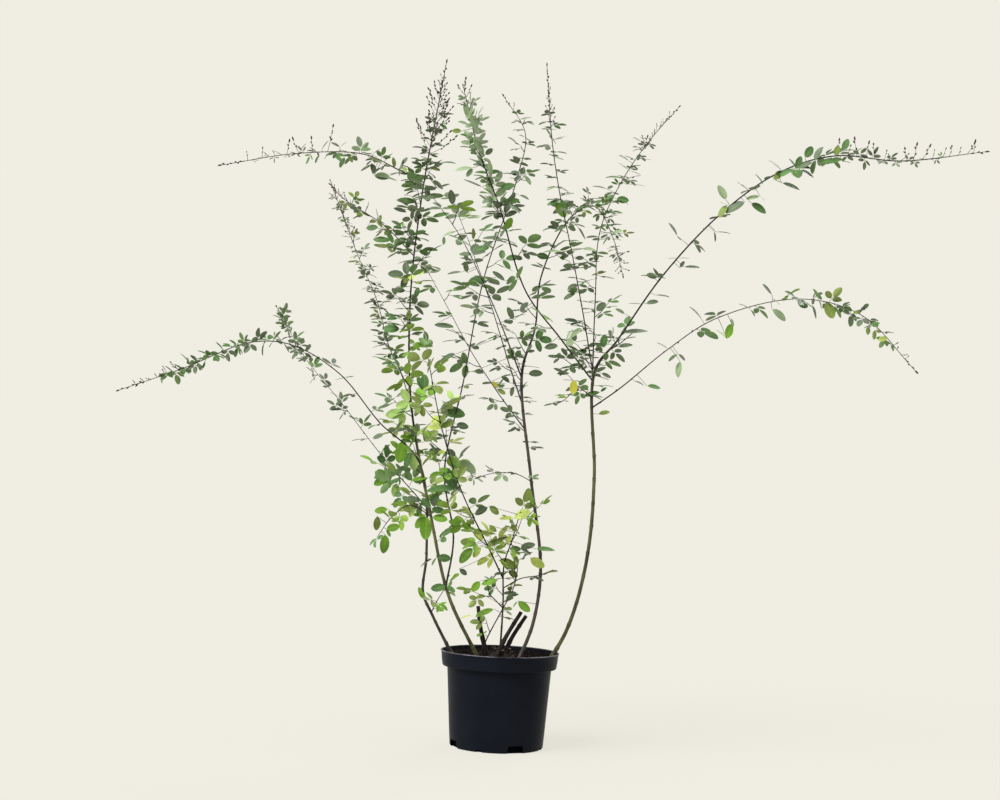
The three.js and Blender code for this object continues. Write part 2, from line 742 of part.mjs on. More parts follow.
// Seed heads in turn along the last part of a stem
function addPods(node, solids, line, shoot, start, end, dress, random) {
  for (let i = 0; i < dress.pods; i++) {
    const share = (i + 0.75) / dress.pods;
    const distance = THREE.MathUtils.lerp(start, end, share);
    const along = shoot.along(distance);
    const out = sideways(along, i * SPIRAL + spread(random, POD_TURN));
    const direction = out.multiplyScalar(Math.sin(POD_ANGLE));
    direction.addScaledVector(along, Math.cos(POD_ANGLE)).normalize();
    const root = rootOn(line, distance).addScaledVector(direction, -POD.sunk);
    const scale = THREE.MathUtils.lerp(...POD_SIZES, share);
    const tip = root.clone().addScaledVector(direction, POD.length * scale);
    const space = [{ from: root, to: tip, radius: POD.width / 2 }];
    if (isClear(node, space)) {
      solids.push(podSolid(root, direction, POD.length * scale, POD.width * scale));
      claim(node, "leaf", space);
    }
  }
}

function leafMass({ name, shoot, stem, line, start, end, dress }, random) {
  const solids = [stem];
  const leafEnd = dress.pods ? THREE.MathUtils.lerp(start, end, LEAFY_SHARE) : end - LEAD;
  let distance = start + LEAD;
  for (let i = 0; distance < leafEnd; i++) {
    const share = (distance - start) / (end - start);
    const scale = dress.pods ? THREE.MathUtils.lerp(...TIP_LEAF_SIZES, share) : 1;
    const angle = i * SPIRAL + random();
    const add = i % dress.twigs === 1 ? addTwig : addLeaf;
    const root = rootOn(line, distance);
    add(name, solids, root, shoot.along(distance), angle, dress, scale, random);
    distance += dress.spacing * between(random, NODE_SPACINGS);
  }
  if (dress.pods) {
    addPods(name, solids, line, shoot, leafEnd, end, dress, random);
  } else {
    const tip = rootOn(line, end - TIP_SUNK);
    addLeaf(name, solids, tip, shoot.along(end), 0, { ...dress, lean: TIP_LEAN }, 1, random);
  }
  return mainBody(wasm.Manifold.union(solids).simplify(FINEST));
}

const plant = new THREE.Group();

function addNode(name, solid, finish) {
  const mesh = new THREE.Mesh(geometryOf(solid), finish);
  mesh.name = name;
  plant.add(mesh);
}

addNode("pot", potSolid(), POT_FINISH);
addNode("soil", soilSolid(), SOIL_FINISH);

// Wood first: canes, boughs, the stems of the masses, and the stubs
const shoots = {};
const masses = [];
for (const [shootName, plan] of Object.entries(SHOOTS)) {
  const shoot = new Shoot(plan);
  shoots[shootName] = shoot;
  let start = 0;
  for (const [name, share, dress] of plan.pieces) {
    const end = share * shoot.length;
    const line = stretch(shoot, start, end, dress ? TWIG_STEP : LIMB_STEP);
    const sides = dress ? TWIG_SIDES : LIMB_SIDES;
    const footHeight = start === 0 && !plan.from ? FOOT_LEVEL : null;
    const stem = growWood(name, line, sides, footHeight, shootName);
    if (dress) {
      masses.push({ name, shoot, stem, line, start, end, dress });
    } else {
      addNode(name, stem, BARK_FINISH);
    }
    start = end + GAP;
  }
}

for (const [name, places] of Object.entries(STUBS)) {
  const line = bentLine(places.map((place) => new THREE.Vector3(...place)), STUB_RADII);
  addNode(name, growWood(name, line, LIMB_SIDES, FOOT_LEVEL, name), STUB_FINISH);
}

// The crown: a low dome on the soil, cut clear of the stems that rise through it
function crownSolid() {
  const profile = [[0, 0]];
  for (let i = 0; i <= CROWN.rings; i++) {
    const angle = (i / CROWN.rings) * (Math.PI / 2);
    profile.push([CROWN.radius * Math.cos(angle), CROWN.height * Math.sin(angle)]);
  }
  profile[profile.length - 1][0] = 0;
  let dome = turned(profile, CROWN.segments).translate([CROWN.x, CROWN.y, FOOT_LEVEL]);
  for (const piece of pieces) {
    dome = dome.subtract(piece.swollen);
  }
  return mainBody(dome);
}

addNode("root_crown", crownSolid(), STUB_FINISH);

// Then each mass in turn, its twigs and leaves clear of all the wood and of the other masses
masses.forEach((mass, i) => {
  const finish = [BUSHY, FRESH].includes(mass.dress) ? BRIGHT_FINISH : GREEN_FINISH;
  addNode(mass.name, leafMass(mass, seeded(i + 1)), finish);
});

export default plant;
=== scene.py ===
# Potted thunberg bush clover in its autumn state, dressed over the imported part.
# Sizes are in millimetres, as in the part's source. Meshes are made in metres.

import math

import bpy
import numpy as np
from mathutils import Matrix, noise


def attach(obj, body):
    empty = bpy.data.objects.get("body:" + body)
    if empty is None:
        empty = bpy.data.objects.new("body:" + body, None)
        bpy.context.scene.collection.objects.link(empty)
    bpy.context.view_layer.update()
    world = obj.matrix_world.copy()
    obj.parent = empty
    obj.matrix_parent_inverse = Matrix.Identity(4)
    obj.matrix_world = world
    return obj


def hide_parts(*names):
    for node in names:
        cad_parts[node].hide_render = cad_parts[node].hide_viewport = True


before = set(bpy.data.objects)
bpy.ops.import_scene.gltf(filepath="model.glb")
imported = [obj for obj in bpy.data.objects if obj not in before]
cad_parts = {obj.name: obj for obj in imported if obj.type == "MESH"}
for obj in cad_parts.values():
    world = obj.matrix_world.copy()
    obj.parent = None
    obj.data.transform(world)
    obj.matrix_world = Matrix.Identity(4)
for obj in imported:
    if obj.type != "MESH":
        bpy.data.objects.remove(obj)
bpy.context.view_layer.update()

MM = 0.001
UP = np.array([0.0, 0.0, 1.0])
TURN = 2 * math.pi
SPIRAL = math.pi * (3 - math.sqrt(5))

# Random numbers as in the part's source. Leafy masses, then thin shoots, have seeds from 1 on.
MODULUS, MULTIPLIER, SEED_STEP, SEED_START = 2147483647, 48271, 7919, 12345
LIMB_SEED, STRAY_SEED, ACCENT_SEED = 100, 200, 400
SOIL_SEED, CROWN_SEED, STUB_SEED = 301, 302, 303

# The photograph's camera: where it stands, how it is turned and its focal length in pixels
CAMERA_PLACE = (0, -3000, 485)
CAMERA_YAW = math.radians(-0.381)
CAMERA_PITCH = math.radians(3.28)
CAMERA_ROLL = math.radians(2.4)
FOCAL_PIXELS = 1565
IMAGE_WIDTH, IMAGE_HEIGHT = 1000, 800
SENSOR_WIDTH = 36
FARTHEST = 1000

# Backdrop colour, half the floor's width in metres, how much of its light is its own, and the soft
# lamps: the place light comes from, its strength and the angle across its source
BACKDROP = (0.871, 0.847, 0.761)
FLOOR_REACH = 400
FLOOR_GLOW = 0.8
LAMPS = {
    "key": ((-0.75, -0.6, 1.0), 4.2, math.radians(40)),
    "rim": ((0.5, 1.0, 0.8), 0.8, math.radians(20)),
}

# Pot, with the main sizes of the part's, rounder edges, a fuller band and blind notches in a thicker
# foot. NOTCHES: their widths and heights, by turns.
POT_HEIGHT = 180
RIM_RADIUS = 113
BAND_HEIGHT = 30
BAND_FOOT_RADIUS = 108.5
BAND_BEVEL = 2
BAND_SWELL, BAND_SWELL_HEIGHT = 1.6, 12
WALL_TOP_RADIUS = 99
WALL_BEVEL = 1.2
FOOT_RADIUS = 88.5
FOOT_BEVEL = 3
WALL = 1.6
WALL_RINGS = (0.2, 0.5, 0.8)
LIP = 2.6
# Depth of the lip's top that takes the lighter finish, a painted highlight
LIP_HIGHLIGHT_DEPTH = 2
LIP_DROP = 0.6
LIP_NECK, LIP_NECK_HEIGHT = 1.7, 4.6
FLOOR_RISE = 9
FLOOR_THICKNESS = 2
FOOT_RING_WIDTH = 10
FOOT_TOP = 26
CENTRE_RADIUS = 58
CENTRE_SLOPE = 2
BAND_FOOT = POT_HEIGHT - BAND_HEIGHT
FLOOR_TOP = FLOOR_RISE + FLOOR_THICKNESS
BAND_INNER = BAND_FOOT_RADIUS - WALL
RING_RADIUS = FOOT_RADIUS - FOOT_RING_WIDTH
POT_SEGMENTS = 160
POT_EDGE = math.radians(30)
POT_IOR = 1.3
NOTCH_COUNT = 8
FIRST_NOTCH = math.radians(24)
NOTCHES = ((34, 14), (12, 5))
NOTCH_SLOPE = 0.2
NOTCH_DEPTH = 7
NOTCH_MARGIN = 1
PIP_COUNT = 4
FIRST_PIP = math.radians(37)
PIP_HEIGHT = 30
PIP_RADIUS = 2.2
PIP_RINGS = ((-0.5, 1), (0.3, 0.95), (0.75, 0.6), (0.9, 0.2))
PIP_SIDES = 12

# Soil, its crumbs, and bark chips that are paler near the middle
SOIL_TOP = 170
SOIL_RADIUS = 108.6
SOIL_RINGS, SOIL_SEGMENTS = 54, 150
SOIL_RISE = 0.6
SOIL_LUMP = 14
SOIL_RELIEF = 1.8
SOIL_NOISE, SOIL_NOISE_PLACE = (0.8, 2.1, 4), 3.1
SOIL_EDGE, SOIL_EDGE_SLOPE = 98, 0.25
CRUMB_COUNT = 900
CRUMB_REACH = 0.97
CRUMB_RISE = 0.3
CRUMB_SIZES = (1.2, 3.2)
CHIP_SIZES = ((4, 8), (2, 4), (0.8, 1.6))
CHIP_SHARE = 0.22
CHIP_SHADES, CHIP_REACH = 3, 60
LUMP_PUSH = (0.75, 1.15)
LUMP_TURN, LUMP_TILT = 6.28, 0.6

# Woody crown, its stumps, and the cut stubs of old stems
CROWN = {"x": 2, "y": -14, "radius": 30, "height": 15}
CROWN_RINGS, CROWN_SEGMENTS = 16, 48
CROWN_SINK = 1.5
CROWN_TOP = 0.6
CROWN_NOISE, CROWN_NOISE_PLACE = (0.7, 2.2, 4), 7
KNOB_SCALE, KNOB_SHARES = 2.2, (0.86, 0.3)
STUMP_COUNT = 7
STUMP_REACHES = (0.25, 0.75)
STUMP_HEIGHTS = (11, 19)
STUMP_RADII = (2.4, 4.6)
STUMP_FOOT = 2
STUMP_LEAN = 0.5
STUMP_RINGS = (0, 0.35, 0.7, 1)
STUMP_GIRTH = (1.25, 1.05, 1, 0.96)
STUMP_BARK = 20
CUT_SIDES, CUT_RIM, CUT_STEPS = 12, 0.82, (-0.5, 0, 0.4)
STUB_SIDES, STUB_STEPS = 14, 28
STUB_KNOTS = (9, 20)
STUB_RADII = (5.1, 3.9, 3.5)
STUBS = (
    ((-25, -15, SOIL_TOP), (-38, -15, 220), (-45, -15, 263)),
    ((-8, -37, SOIL_TOP), (13, -36, 215), (37, -35, 257)),
    ((6, 5, SOIL_TOP), (24, 5, 209), (47, 5, 247)),
)

# Leaflets: their outline as shares of length and half width, the corners across them as shares of
# the half width, and how far breadth, fold and droop differ
LEAFLET_OUTLINE = ((0.05, 0.36), (0.18, 0.74), (0.38, 0.98), (0.6, 0.97), (0.8, 0.74), (0.93, 0.42))
LEAFLET_ACROSS = (-1, -0.55, -0.06, 0.06, 0.55, 1)
MIDRIB = 0.05
LEAFLET_WIDTH = 0.58
LEAFLET_WIDTHS = (0.9, 1.1)
LEAFLET_FOLDS = (0.3, 1)
LEAFLET_DROOPS = (0.02, 0.16)
LEAF_THICKNESS = 0.35

# Leaves: their three leaflets and stalk, how they stray and turn, and how they find room
SIDE_ANGLE = math.radians(70)
SIDE_SHARE = 0.86
END_STALK = 0.23
SIDE_STALK = 1.5
STALK_GIRTH = (0.55, 0.42, 0.42, 0.3)
STALK_BOW = 0.06
FINE_SIDES = 5
LEAF_SIZES = (0.82, 1.15)
LEAF_STEPS = (0.8, 1.2)
LEAN_STRAY = 0.25
ANGLE_STRAY = 0.5
TURNED_TILT = 0.9
END_LEAN = 0.15
LEAF_TRIES = 5
RETRY_TURN = 0.9
LEAF_CENTRE, LEAF_REACH = 0.4, 0.8
LEAF_ROOM = 0.42
LOWEST_LEAF = 200
MOST_LEAVES = 20000
ACCENT_LEAD = 5
ACCENT_DEPTH = 0.2

# Stems: the side where their corners start, their bark, knots and buds
SEAM_SIDE = np.array([0.3, -1, 0.1])
CURVE_STEPS, CURVE_NUDGE = 601, 1e-4
LEAD = 9
FLARE, FLARE_HEIGHT = 0.55, 16
LIMB_SIDES, LIMB_STEP = 14, 3
STEM_SIDES, STEM_STEP = 8, 5
RIDGE, RIDGE_LENGTH = 0.05, 9
KNOT_SWELL, KNOT_REACH = 0.16, 2.6
KNOT_SPACING = (34, 52)
FIRST_KNOT, LAST_KNOT = 22, 8
BUD_LENGTHS = (2.4, 4)
BUD_ROOT = 0.8
BUD_SPLAY = 0.6
BUD_RINGS = (0, 0.45, 1)
BUD_GIRTH = (0.2, 0.3, 0.05)

# Side twigs, flower spikes and seed heads
TWIG_ANGLE = math.radians(48)
TWIG_RISE = 0.35
TWIG_LENGTHS = (0.75, 1.2)
TWIG_WANDER = 0.02
TWIG_SIDES = 6
TWIG_GIRTH = (0.95, 0.85, 0.75, 0.65, 0.5)
TWIG_TINT = 0.7
TWIG_LEAF, TWIG_END_LEAF = 0.92, 0.95
FIRST_TWIG_LEAF, EXTRA_STEPS = 0.9, 0.4
SPIKE_LENGTHS = (0.45, 1.4)
SPIKE_STEPS = (0.7, 1.3)
SPIKE_RISE = 0.35
SPIKE_STRAY = 0.4
SPIKE_GIRTH = (0.45, 0.4, 0.28)
RACEME_BARE = 0.6
HEAD_SPACING = 7.5
FIRST_HEAD, LAST_HEAD, TIP_HEAD = 0.35, 0.92, 0.98
HEAD_STRAY = 0.7
HEAD_LENGTH, END_HEAD = 6, 8.5
HEAD_LENGTHS = (0.75, 1.2)
HEAD_OUT, HEAD_AHEAD = 0.5, 0.85
HEAD_RINGS = (0, 0.3, 0.65, 1)
HEAD_SLIMNESS, HEAD_GIRTH = 0.21, 1.55
HEAD_FOOT_GIRTH, HEAD_TIP_GIRTH = 0.25, 0.12
FULL_SPIKE = 26
SMALL_HEAD = 0.5
DARK_HEADS = 0.9

# Shoots, along the same lines as in the part's source. root: the shoot and the height that one
# grows from; via: places it passes; girth: its radius by share of its length; limbs: its bare
# lengths and the share at which each ends; masses: where each leafy mass ends, and its dress.
SHOOTS = {
    "left": dict(
        via=(
            (-92, 0, SOIL_TOP), (-130, -10, 240), (-150, -22, 285), (-146, -38, 360),
            (-165, -80, 530), (-240, -110, 600), (-315, -145, 685), (-400, -178, 731),
            (-470, -205, 730), (-580, -250, 675), (-680, -290, 630),
        ),
        girth=((0, 2.9), (0.3, 2.2), (0.45, 1.2), (1, 0.5)),
        limbs=(("left_cane", 0.37), ("left_arch_bough", 0.5)),
        masses=((0.72, "arch_rise"), (1, "arch_tip")),
    ),
    "tall": dict(
        via=(
            (-42, -40, SOIL_TOP), (-100, -70, 285), (-140, -80, 435), (-185, -70, 635),
            (-197, -58, 830), (-185, -50, 1030), (-150, -30, 1300),
        ),
        girth=((0, 3.4), (0.35, 2.5), (0.45, 1.7), (0.75, 1.35), (0.93, 1.0), (1, 0.5)),
        limbs=(("tall_cane", 0.39),),
        masses=((0.54, "inner_upper"), (0.68, "upper"), (0.82, "upper"), (1, "plume")),
    ),
    "centre": dict(
        via=((0, -20, SOIL_TOP), (2, -30, 270), (1, -40, 345), (14, -60, 392), (27, -80, 445)),
        girth=((0, 1.9), (0.6, 1.4), (1, 0.8)), limbs=(("centre_cane", 0.55),),
        masses=((1, "bush"),),
    ),
    "middle": dict(
        via=(
            (36, -56, SOIL_TOP), (60, -50, 240), (70, -42, 340), (45, -30, 510), (20, -10, 710),
            (42, 20, 800), (50, 60, 905), (105, 150, 1040), (160, 225, 1080), (205, 300, 1025),
            (230, 340, 955),
        ),
        girth=((0, 3.2), (0.45, 2.7), (0.53, 1.7), (0.75, 1.3), (1, 0.5)),
        limbs=(("middle_cane", 0.45), ("middle_arch_bough", 0.51)),
        masses=((0.78, "thinning"), (1, "faint_tip")),
    ),
    "right": dict(
        via=(
            (98, 0, SOIL_TOP), (124, -5, 222), (147, -10, 300), (162, -14, 400), (166, -8, 520),
            (160, 0, 720), (200, -20, 780), (277, -75, 900), (374, -140, 1010), (470, -190, 1080),
            (560, -230, 1105), (670, -270, 1092), (805, -310, 1105),
        ),
        girth=((0, 3.6), (0.4, 2.9), (0.44, 1.7), (0.7, 1.35), (0.92, 0.95), (1, 0.5)),
        limbs=(("right_cane", 0.395), ("right_high_bough", 0.46)),
        masses=((0.8, "rise_large"), (1, "spiked_tip")),
    ),
    "left_wisp": dict(
        root=("left", 515),
        via=(
            (-205, 20, 680), (-245, 90, 760), (-280, 160, 860), (-330, 230, 960), (-405, 320, 1130),
        ),
        girth=((0, 1.3), (0.4, 0.8), (1, 0.45)), limbs=(("left_wisp_bough", 0.32),),
        masses=((1, "wisp"),),
    ),
    "left_back": dict(
        root=("tall", 440),
        via=((-245, 60, 540), (-345, 180, 650), (-435, 280, 745), (-515, 380, 860)),
        girth=((0, 1.2), (0.3, 0.75), (1, 0.45)), limbs=(("left_back_bough", 0.45),),
        masses=((1, "back_tip"),),
    ),
    "diagonal": dict(
        root=("tall", 300),
        via=(
            (-97, -25, 390), (-122, 40, 515), (-95, 120, 700), (-65, 190, 915), (-5, 255, 1140),
            (8, 275, 1240), (-40, 290, 1320),
        ),
        girth=((0, 1.8), (0.4, 1.3), (0.85, 1), (1, 0.5)), limbs=(("diagonal_bough", 0.42),),
        masses=((0.72, "open"), (1, "sparse_tip")),
    ),
    "left_high": dict(
        root=("tall", 1062),
        via=((-230, -90, 1078), (-290, -130, 1095), (-400, -210, 1075), (-520, -300, 1030)),
        girth=((0, 1.1), (1, 0.5)), masses=((0.5, "upper_arch"), (1, "sprig_tip")),
    ),
    "left_mid": dict(
        root=("tall", 920), via=((-260, 30, 990), (-350, 120, 1055), (-385, 152, 1090)),
        girth=((0, 1.1), (1, 0.5)), masses=((1, "fading"),),
    ),
    "left_droop": dict(
        root=("tall", 430), via=((-176, -130, 450), (-206, -180, 426), (-224, -215, 396)),
        girth=((0, 1.1), (1, 0.6)), masses=((1, "droop"),),
    ),
    "foot": dict(
        root=("left", 246), via=((-122, -34, 272), (-106, -48, 300)), girth=((0, 1.1), (1, 0.6)),
        masses=((1, "fresh"),),
    ),
    "inner": dict(
        root=("centre", 318),
        via=((-30, -75, 378), (-82, -150, 480), (-120, -213, 590), (-150, -258, 720)),
        girth=((0, 1.5), (1, 0.7)), limbs=(("inner_bough", 0.12),),
        masses=((0.55, "inner"), (1, "inner")),
    ),
    "up_left": dict(
        root=("middle", 700),
        via=((-25, -60, 800), (-60, -100, 870), (-105, -165, 945), (-160, -228, 1010)),
        girth=((0, 1.5), (0.3, 1.1), (1, 0.5)), limbs=(("up_left_bough", 0.28),),
        masses=((1, "open"),),
    ),
    "middle_back": dict(
        root=("middle", 648),
        via=((-5, 60, 730), (-50, 150, 865), (-95, 230, 985), (-140, 295, 1095)),
        girth=((0, 1.5), (0.3, 1.1), (1, 0.5)), limbs=(("middle_back_bough", 0.32),),
        masses=((1, "open_back"),),
    ),
    "low_left": dict(
        root=("middle", 600),
        via=((-25, 70, 675), (-85, 170, 765), (-150, 280, 880), (-200, 345, 965)),
        girth=((0, 1.3), (0.4, 0.9), (1, 0.5)), limbs=(("low_left_bough", 0.3),),
        masses=((1, "open"),),
    ),
    "small_arch": dict(
        root=("middle", 503), via=((15, -80, 516), (-25, -130, 515), (-58, -172, 503)),
        girth=((0, 0.9), (1, 0.5)), masses=((1, "sparse_small"),),
    ),
    "right_low": dict(
        root=("right", 648),
        via=(
            (205, -50, 685), (285, -140, 755), (360, -230, 805), (485, -350, 830), (575, -420, 798),
            (650, -480, 705),
        ),
        girth=((0, 1.5), (0.2, 1.0), (1, 0.5)), limbs=(("right_low_bough", 0.38),),
        masses=((0.7, "sparse"), (1, "hook_tip")),
    ),
    "right_lean": dict(
        root=("right", 690),
        via=(
            (160, 90, 870), (170, 200, 1025), (215, 290, 1145), (275, 360, 1250), (345, 420, 1345),
        ),
        girth=((0, 1.4), (0.3, 1), (0.8, 0.8), (1, 0.5)), limbs=(("right_lean_bough", 0.32),),
        masses=((1, "sliver_tip"),),
    ),
    "cross_left": dict(
        root=("right", 700),
        via=(
            (90, -50, 775), (20, -110, 855), (-35, -210, 995), (-75, -262, 1085),
            (-105, -305, 1185),
        ),
        girth=((0, 1.6), (0.5, 1.35), (0.85, 1.1), (1, 0.5)), limbs=(("cross_left_bough", 0.16),),
        masses=((0.6, "thinning"), (1, "pale_top")),
    ),
    "slender": dict(
        root=("right", 709),
        via=((137, 35, 822), (109, 70, 959), (82, 95, 1077), (62, 110, 1190), (46, 125, 1345)),
        girth=((0, 1.4), (0.3, 1.05), (0.8, 0.95), (1, 0.6)), limbs=(("slender_bough", 0.24),),
        masses=((1, "slender_tip"),),
    ),
    "fork": dict(
        root=("right", 668), via=((134, -40, 680), (108, -78, 668)), girth=((0, 1.1), (1, 0.6)),
        masses=((1, "fork"),),
    ),
}

# How a stretch of leafy stem is dressed. spacing: between leaf nodes, first and last; leaf: length
# of a leaflet; stalk: of its stalk; lean: angle between stem and stalk; level: how much of a
# stalk's rise or fall is kept; tilt: how far leaves turn from level; turned: share turned much
# more; loose: how far leaflets turn from their leaf; fold: how far they fold; slim: their breadth;
# twigs: every so many nodes a side twig; twig: its length; sizes: of leaves, first and last;
# leafy: share of the stretch with leaves; spikes: spacing of the spent flower spikes on the rest;
# spike: their length, first and last; spiked: share of the stretch before the first of them;
# splay: how far they stand out; rise: how far they follow the stem and how far they rise; raceme:
# length of the tip with heads of its own; tints: shares of the leaf tints; tip_tints: the shares
# that take over towards the end.
PLAIN = dict(
    spacing=(20, 20), leaf=31, stalk=9, lean=1.35, level=0.45, tilt=0.22, turned=0.22, loose=0.2,
    fold=0.2, slim=1, twigs=3, twig=44, sizes=(1, 1), leafy=1, spikes=9, spike=(24, 10), spiked=1,
    splay=0.6, rise=(0.75, 0.55), raceme=24, tints=dict(dusky=5, green=3.5, pale=1.6, fresh=0.5),
)
LOOSE = dict(lean=1.15, turned=0.3, loose=0.35, level=1, fold=0.4)
OPEN = dict(twigs=4, twig=36, tilt=0.35, slim=0.92)
UPRIGHT = dict(lean=1.1, level=1, twigs=0, splay=0.45, rise=(0.15, 1))
GREY = dict(dusky=4, green=1)
DRESSES = {
    "upper": dict(
        spacing=(12.5, 14), leaf=28, tilt=0.5, turned=0.3, loose=0.3, slim=0.88, twig=34,
        tints=dict(dusky=5, green=3.5, pale=1.2, olive=0.7, fresh=0.3),
    ),
    "thinning": OPEN | dict(spacing=(38, 32), twig=40),
    "open": OPEN | dict(spacing=(56, 34)),
    "open_back": OPEN | dict(spacing=(60, 40)),
    "fading": dict(
        spacing=(19, 17), leaf=25, stalk=7, lean=1.1, tilt=0.4, level=1, sizes=(1.1, 0.6), twigs=4,
        twig=30, leafy=0.84, spikes=5, spike=(18, 7), spiked=0.75,
        tints=dict(dusky=4, green=3, olive=2, pale=0.7, fresh=0.5),
    ),
    "inner_upper": dict(
        spacing=(18, 19), leaf=28, tilt=0.5, tints=dict(green=5, fresh=3, dusky=3, mellow=1),
    ),
    "upper_arch": dict(
        spacing=(11, 17), leaf=23, twigs=0, sizes=(1, 0.8), tilt=0.5, slim=0.85,
        tints=dict(dusky=5, green=3.5, olive=1),
    ),
    "sparse_tip": dict(
        spacing=(21, 12), leafy=0.88, sizes=(0.95, 0.5), twigs=4, twig=30, spikes=12, spike=(12, 8),
        tints=dict(dusky=5, green=3, olive=2, lime=0.7),
    ),
    "pale_top": LOOSE | dict(
        lean=0.85, spacing=(14, 6), tilt=0.6, twigs=5, twig=28, leafy=0.92, sizes=(0.95, 0.5),
        slim=0.9, spikes=4, spike=(28, 18), splay=0.9, raceme=12,
        tints=dict(dusky=2.5, green=3, pale=6.5), tip_tints=dict(pale=9, green=1.5, olive=1),
    ),
    "arch_rise": dict(spacing=(38, 28), leaf=23, twigs=0, tilt=0.5, slim=0.75, tints=GREY),
    "arch_tip": LOOSE | dict(
        spacing=(9, 7), leaf=20, stalk=4, tilt=0.8, twigs=0, leafy=0.74, sizes=(1, 0.8), spikes=8,
        spike=(14, 6), spiked=0.6, raceme=50, tints=dict(green=6, dusky=3, fresh=1, lime=0.2),
    ),
    "wisp": dict(
        spacing=(11, 8), leaf=22, stalk=6, tilt=0.35, slim=0.8, twigs=5, twig=26, leafy=0.9,
        sizes=(1.05, 0.5), spikes=5, spike=(18, 7), spiked=0.7,
        tints=dict(dusky=6, olive=1.5, green=2),
    ),
    "back_tip": dict(
        spacing=(36, 6.5), leaf=22, stalk=5, lean=1, tilt=0.6, level=1, twigs=5, twig=22,
        sizes=(0.95, 0.75), slim=0.78, leafy=0.94, spikes=5, spike=(10, 6), spiked=0.85,
        tints=dict(dusky=5, green=3, mellow=0.7),
    ),
    "plume": dict(
        spacing=(10, 10), leaf=19, stalk=6, leafy=0.12, twigs=0, sizes=(1.1, 1), spikes=3.9,
        spike=(52, 12), splay=1.1, raceme=50, tints=GREY | dict(olive=1),
    ),
    "faint_tip": dict(
        spacing=(13, 11), leaf=17, leafy=0.8, tilt=0.5, twig=26, slim=0.8, spikes=4.5,
        spike=(22, 10), spiked=0.85, splay=1.2, rise=(1.1, 0.1),
        tints=dict(dusky=4, olive=2, green=1),
    ),
    "rise_large": LOOSE | dict(
        spacing=(120, 24), leaf=29, tilt=0.5, twigs=0, sizes=(0.7, 1.1),
        tints=dict(green=6, dusky=4, fresh=0.4),
    ),
    "spiked_tip": UPRIGHT | dict(
        spacing=(12, 10), leaf=19, stalk=6, tilt=0.5, leafy=0.75, sizes=(1.1, 0.35), slim=0.8,
        spikes=14, spike=(24, 14), spiked=0.12, tints=GREY,
    ),
    "sprig_tip": UPRIGHT | dict(
        spacing=(17, 13), leaf=17, stalk=4, tilt=0.6, leafy=0.7, sizes=(1, 0.4), slim=0.5,
        spikes=26, spike=(34, 9), spiked=0, raceme=50, tints=dict(dusky=5, green=1),
    ),
    "hook_tip": LOOSE | dict(
        spacing=(12, 11), leaf=19, stalk=7, tilt=0.9, leafy=0.75, twigs=0, sizes=(1, 0.7),
        spike=(8, 5), tints=dict(dusky=3, green=3, olive=2),
    ),
    "sliver_tip": dict(
        spacing=(28, 13), leaf=25, tilt=0.25, turned=0.12, slim=0.75, leafy=0.8, twigs=6, twig=30,
        sizes=(1.05, 0.6), spikes=6, spike=(20, 8), spiked=0.7, raceme=50,
        tints=dict(dusky=6, green=2),
    ),
    "slender_tip": dict(
        spacing=(18, 11), leaf=27, tilt=0.25, leafy=0.8, twigs=0, sizes=(1, 0.65), spikes=7,
        spike=(20, 8), spiked=0.74, raceme=95,
    ),
    "sparse": dict(
        spacing=(70, 40), leaf=25, twigs=0, tilt=0.6, tints=dict(dusky=3, green=2, fresh=1),
    ),
    "sparse_small": dict(
        spacing=(38, 24), leaf=15, stalk=6, tilt=0.6, twigs=0, tints=dict(pale=2, dusky=1),
    ),
    "fork": dict(leaf=22, twig=36),
    "bush": LOOSE | dict(
        spacing=(22, 24), leaf=26, stalk=13, tilt=0.8, twigs=2, twig=58, sizes=(1.1, 0.8),
        tints=dict(olive=5, fresh=3, dusky=2, green=2, mellow=1),
    ),
    "thin_bush": LOOSE | dict(
        spacing=(36, 30), leaf=22, stalk=11, tilt=0.7, twig=34,
        tints=dict(olive=4, dusky=3, fresh=2),
    ),
    "inner": LOOSE | dict(
        spacing=(22, 22), leaf=27, stalk=14, tilt=0.7, twig=48,
        tints=dict(olive=3, fresh=4, green=3, dusky=1, mellow=1),
    ),
    "cluster": LOOSE | dict(
        spacing=(52, 44), leaf=27, stalk=14, tilt=0.7, twigs=2, twig=50,
        tints=dict(fresh=3, olive=3.5, green=2.5, dusky=1),
    ),
    "droop": LOOSE | dict(
        spacing=(46, 40), leaf=24, stalk=11, tilt=0.9, twigs=0,
        tints=dict(fresh=6, green=2, dusky=1),
    ),
    "fresh": LOOSE | dict(
        spacing=(28, 26), leaf=22, stalk=11, tilt=0.9, twigs=0,
        tints=dict(fresh=5, green=3, olive=1),
    ),
    "stray": dict(
        spacing=(36, 30), leaf=19, stalk=8, tilt=0.4, twig=26, tints=GREY | dict(olive=1),
    ),
    "plume_leaves": dict(spacing=(9, 14), leaf=20, stalk=6, twigs=0, tints=GREY),
    "branching": dict(
        spacing=(25, 25), leaf=25, tilt=0.3, twigs=2, twig=38, slim=0.85,
        tints=dict(dusky=6, green=3),
    ),
}

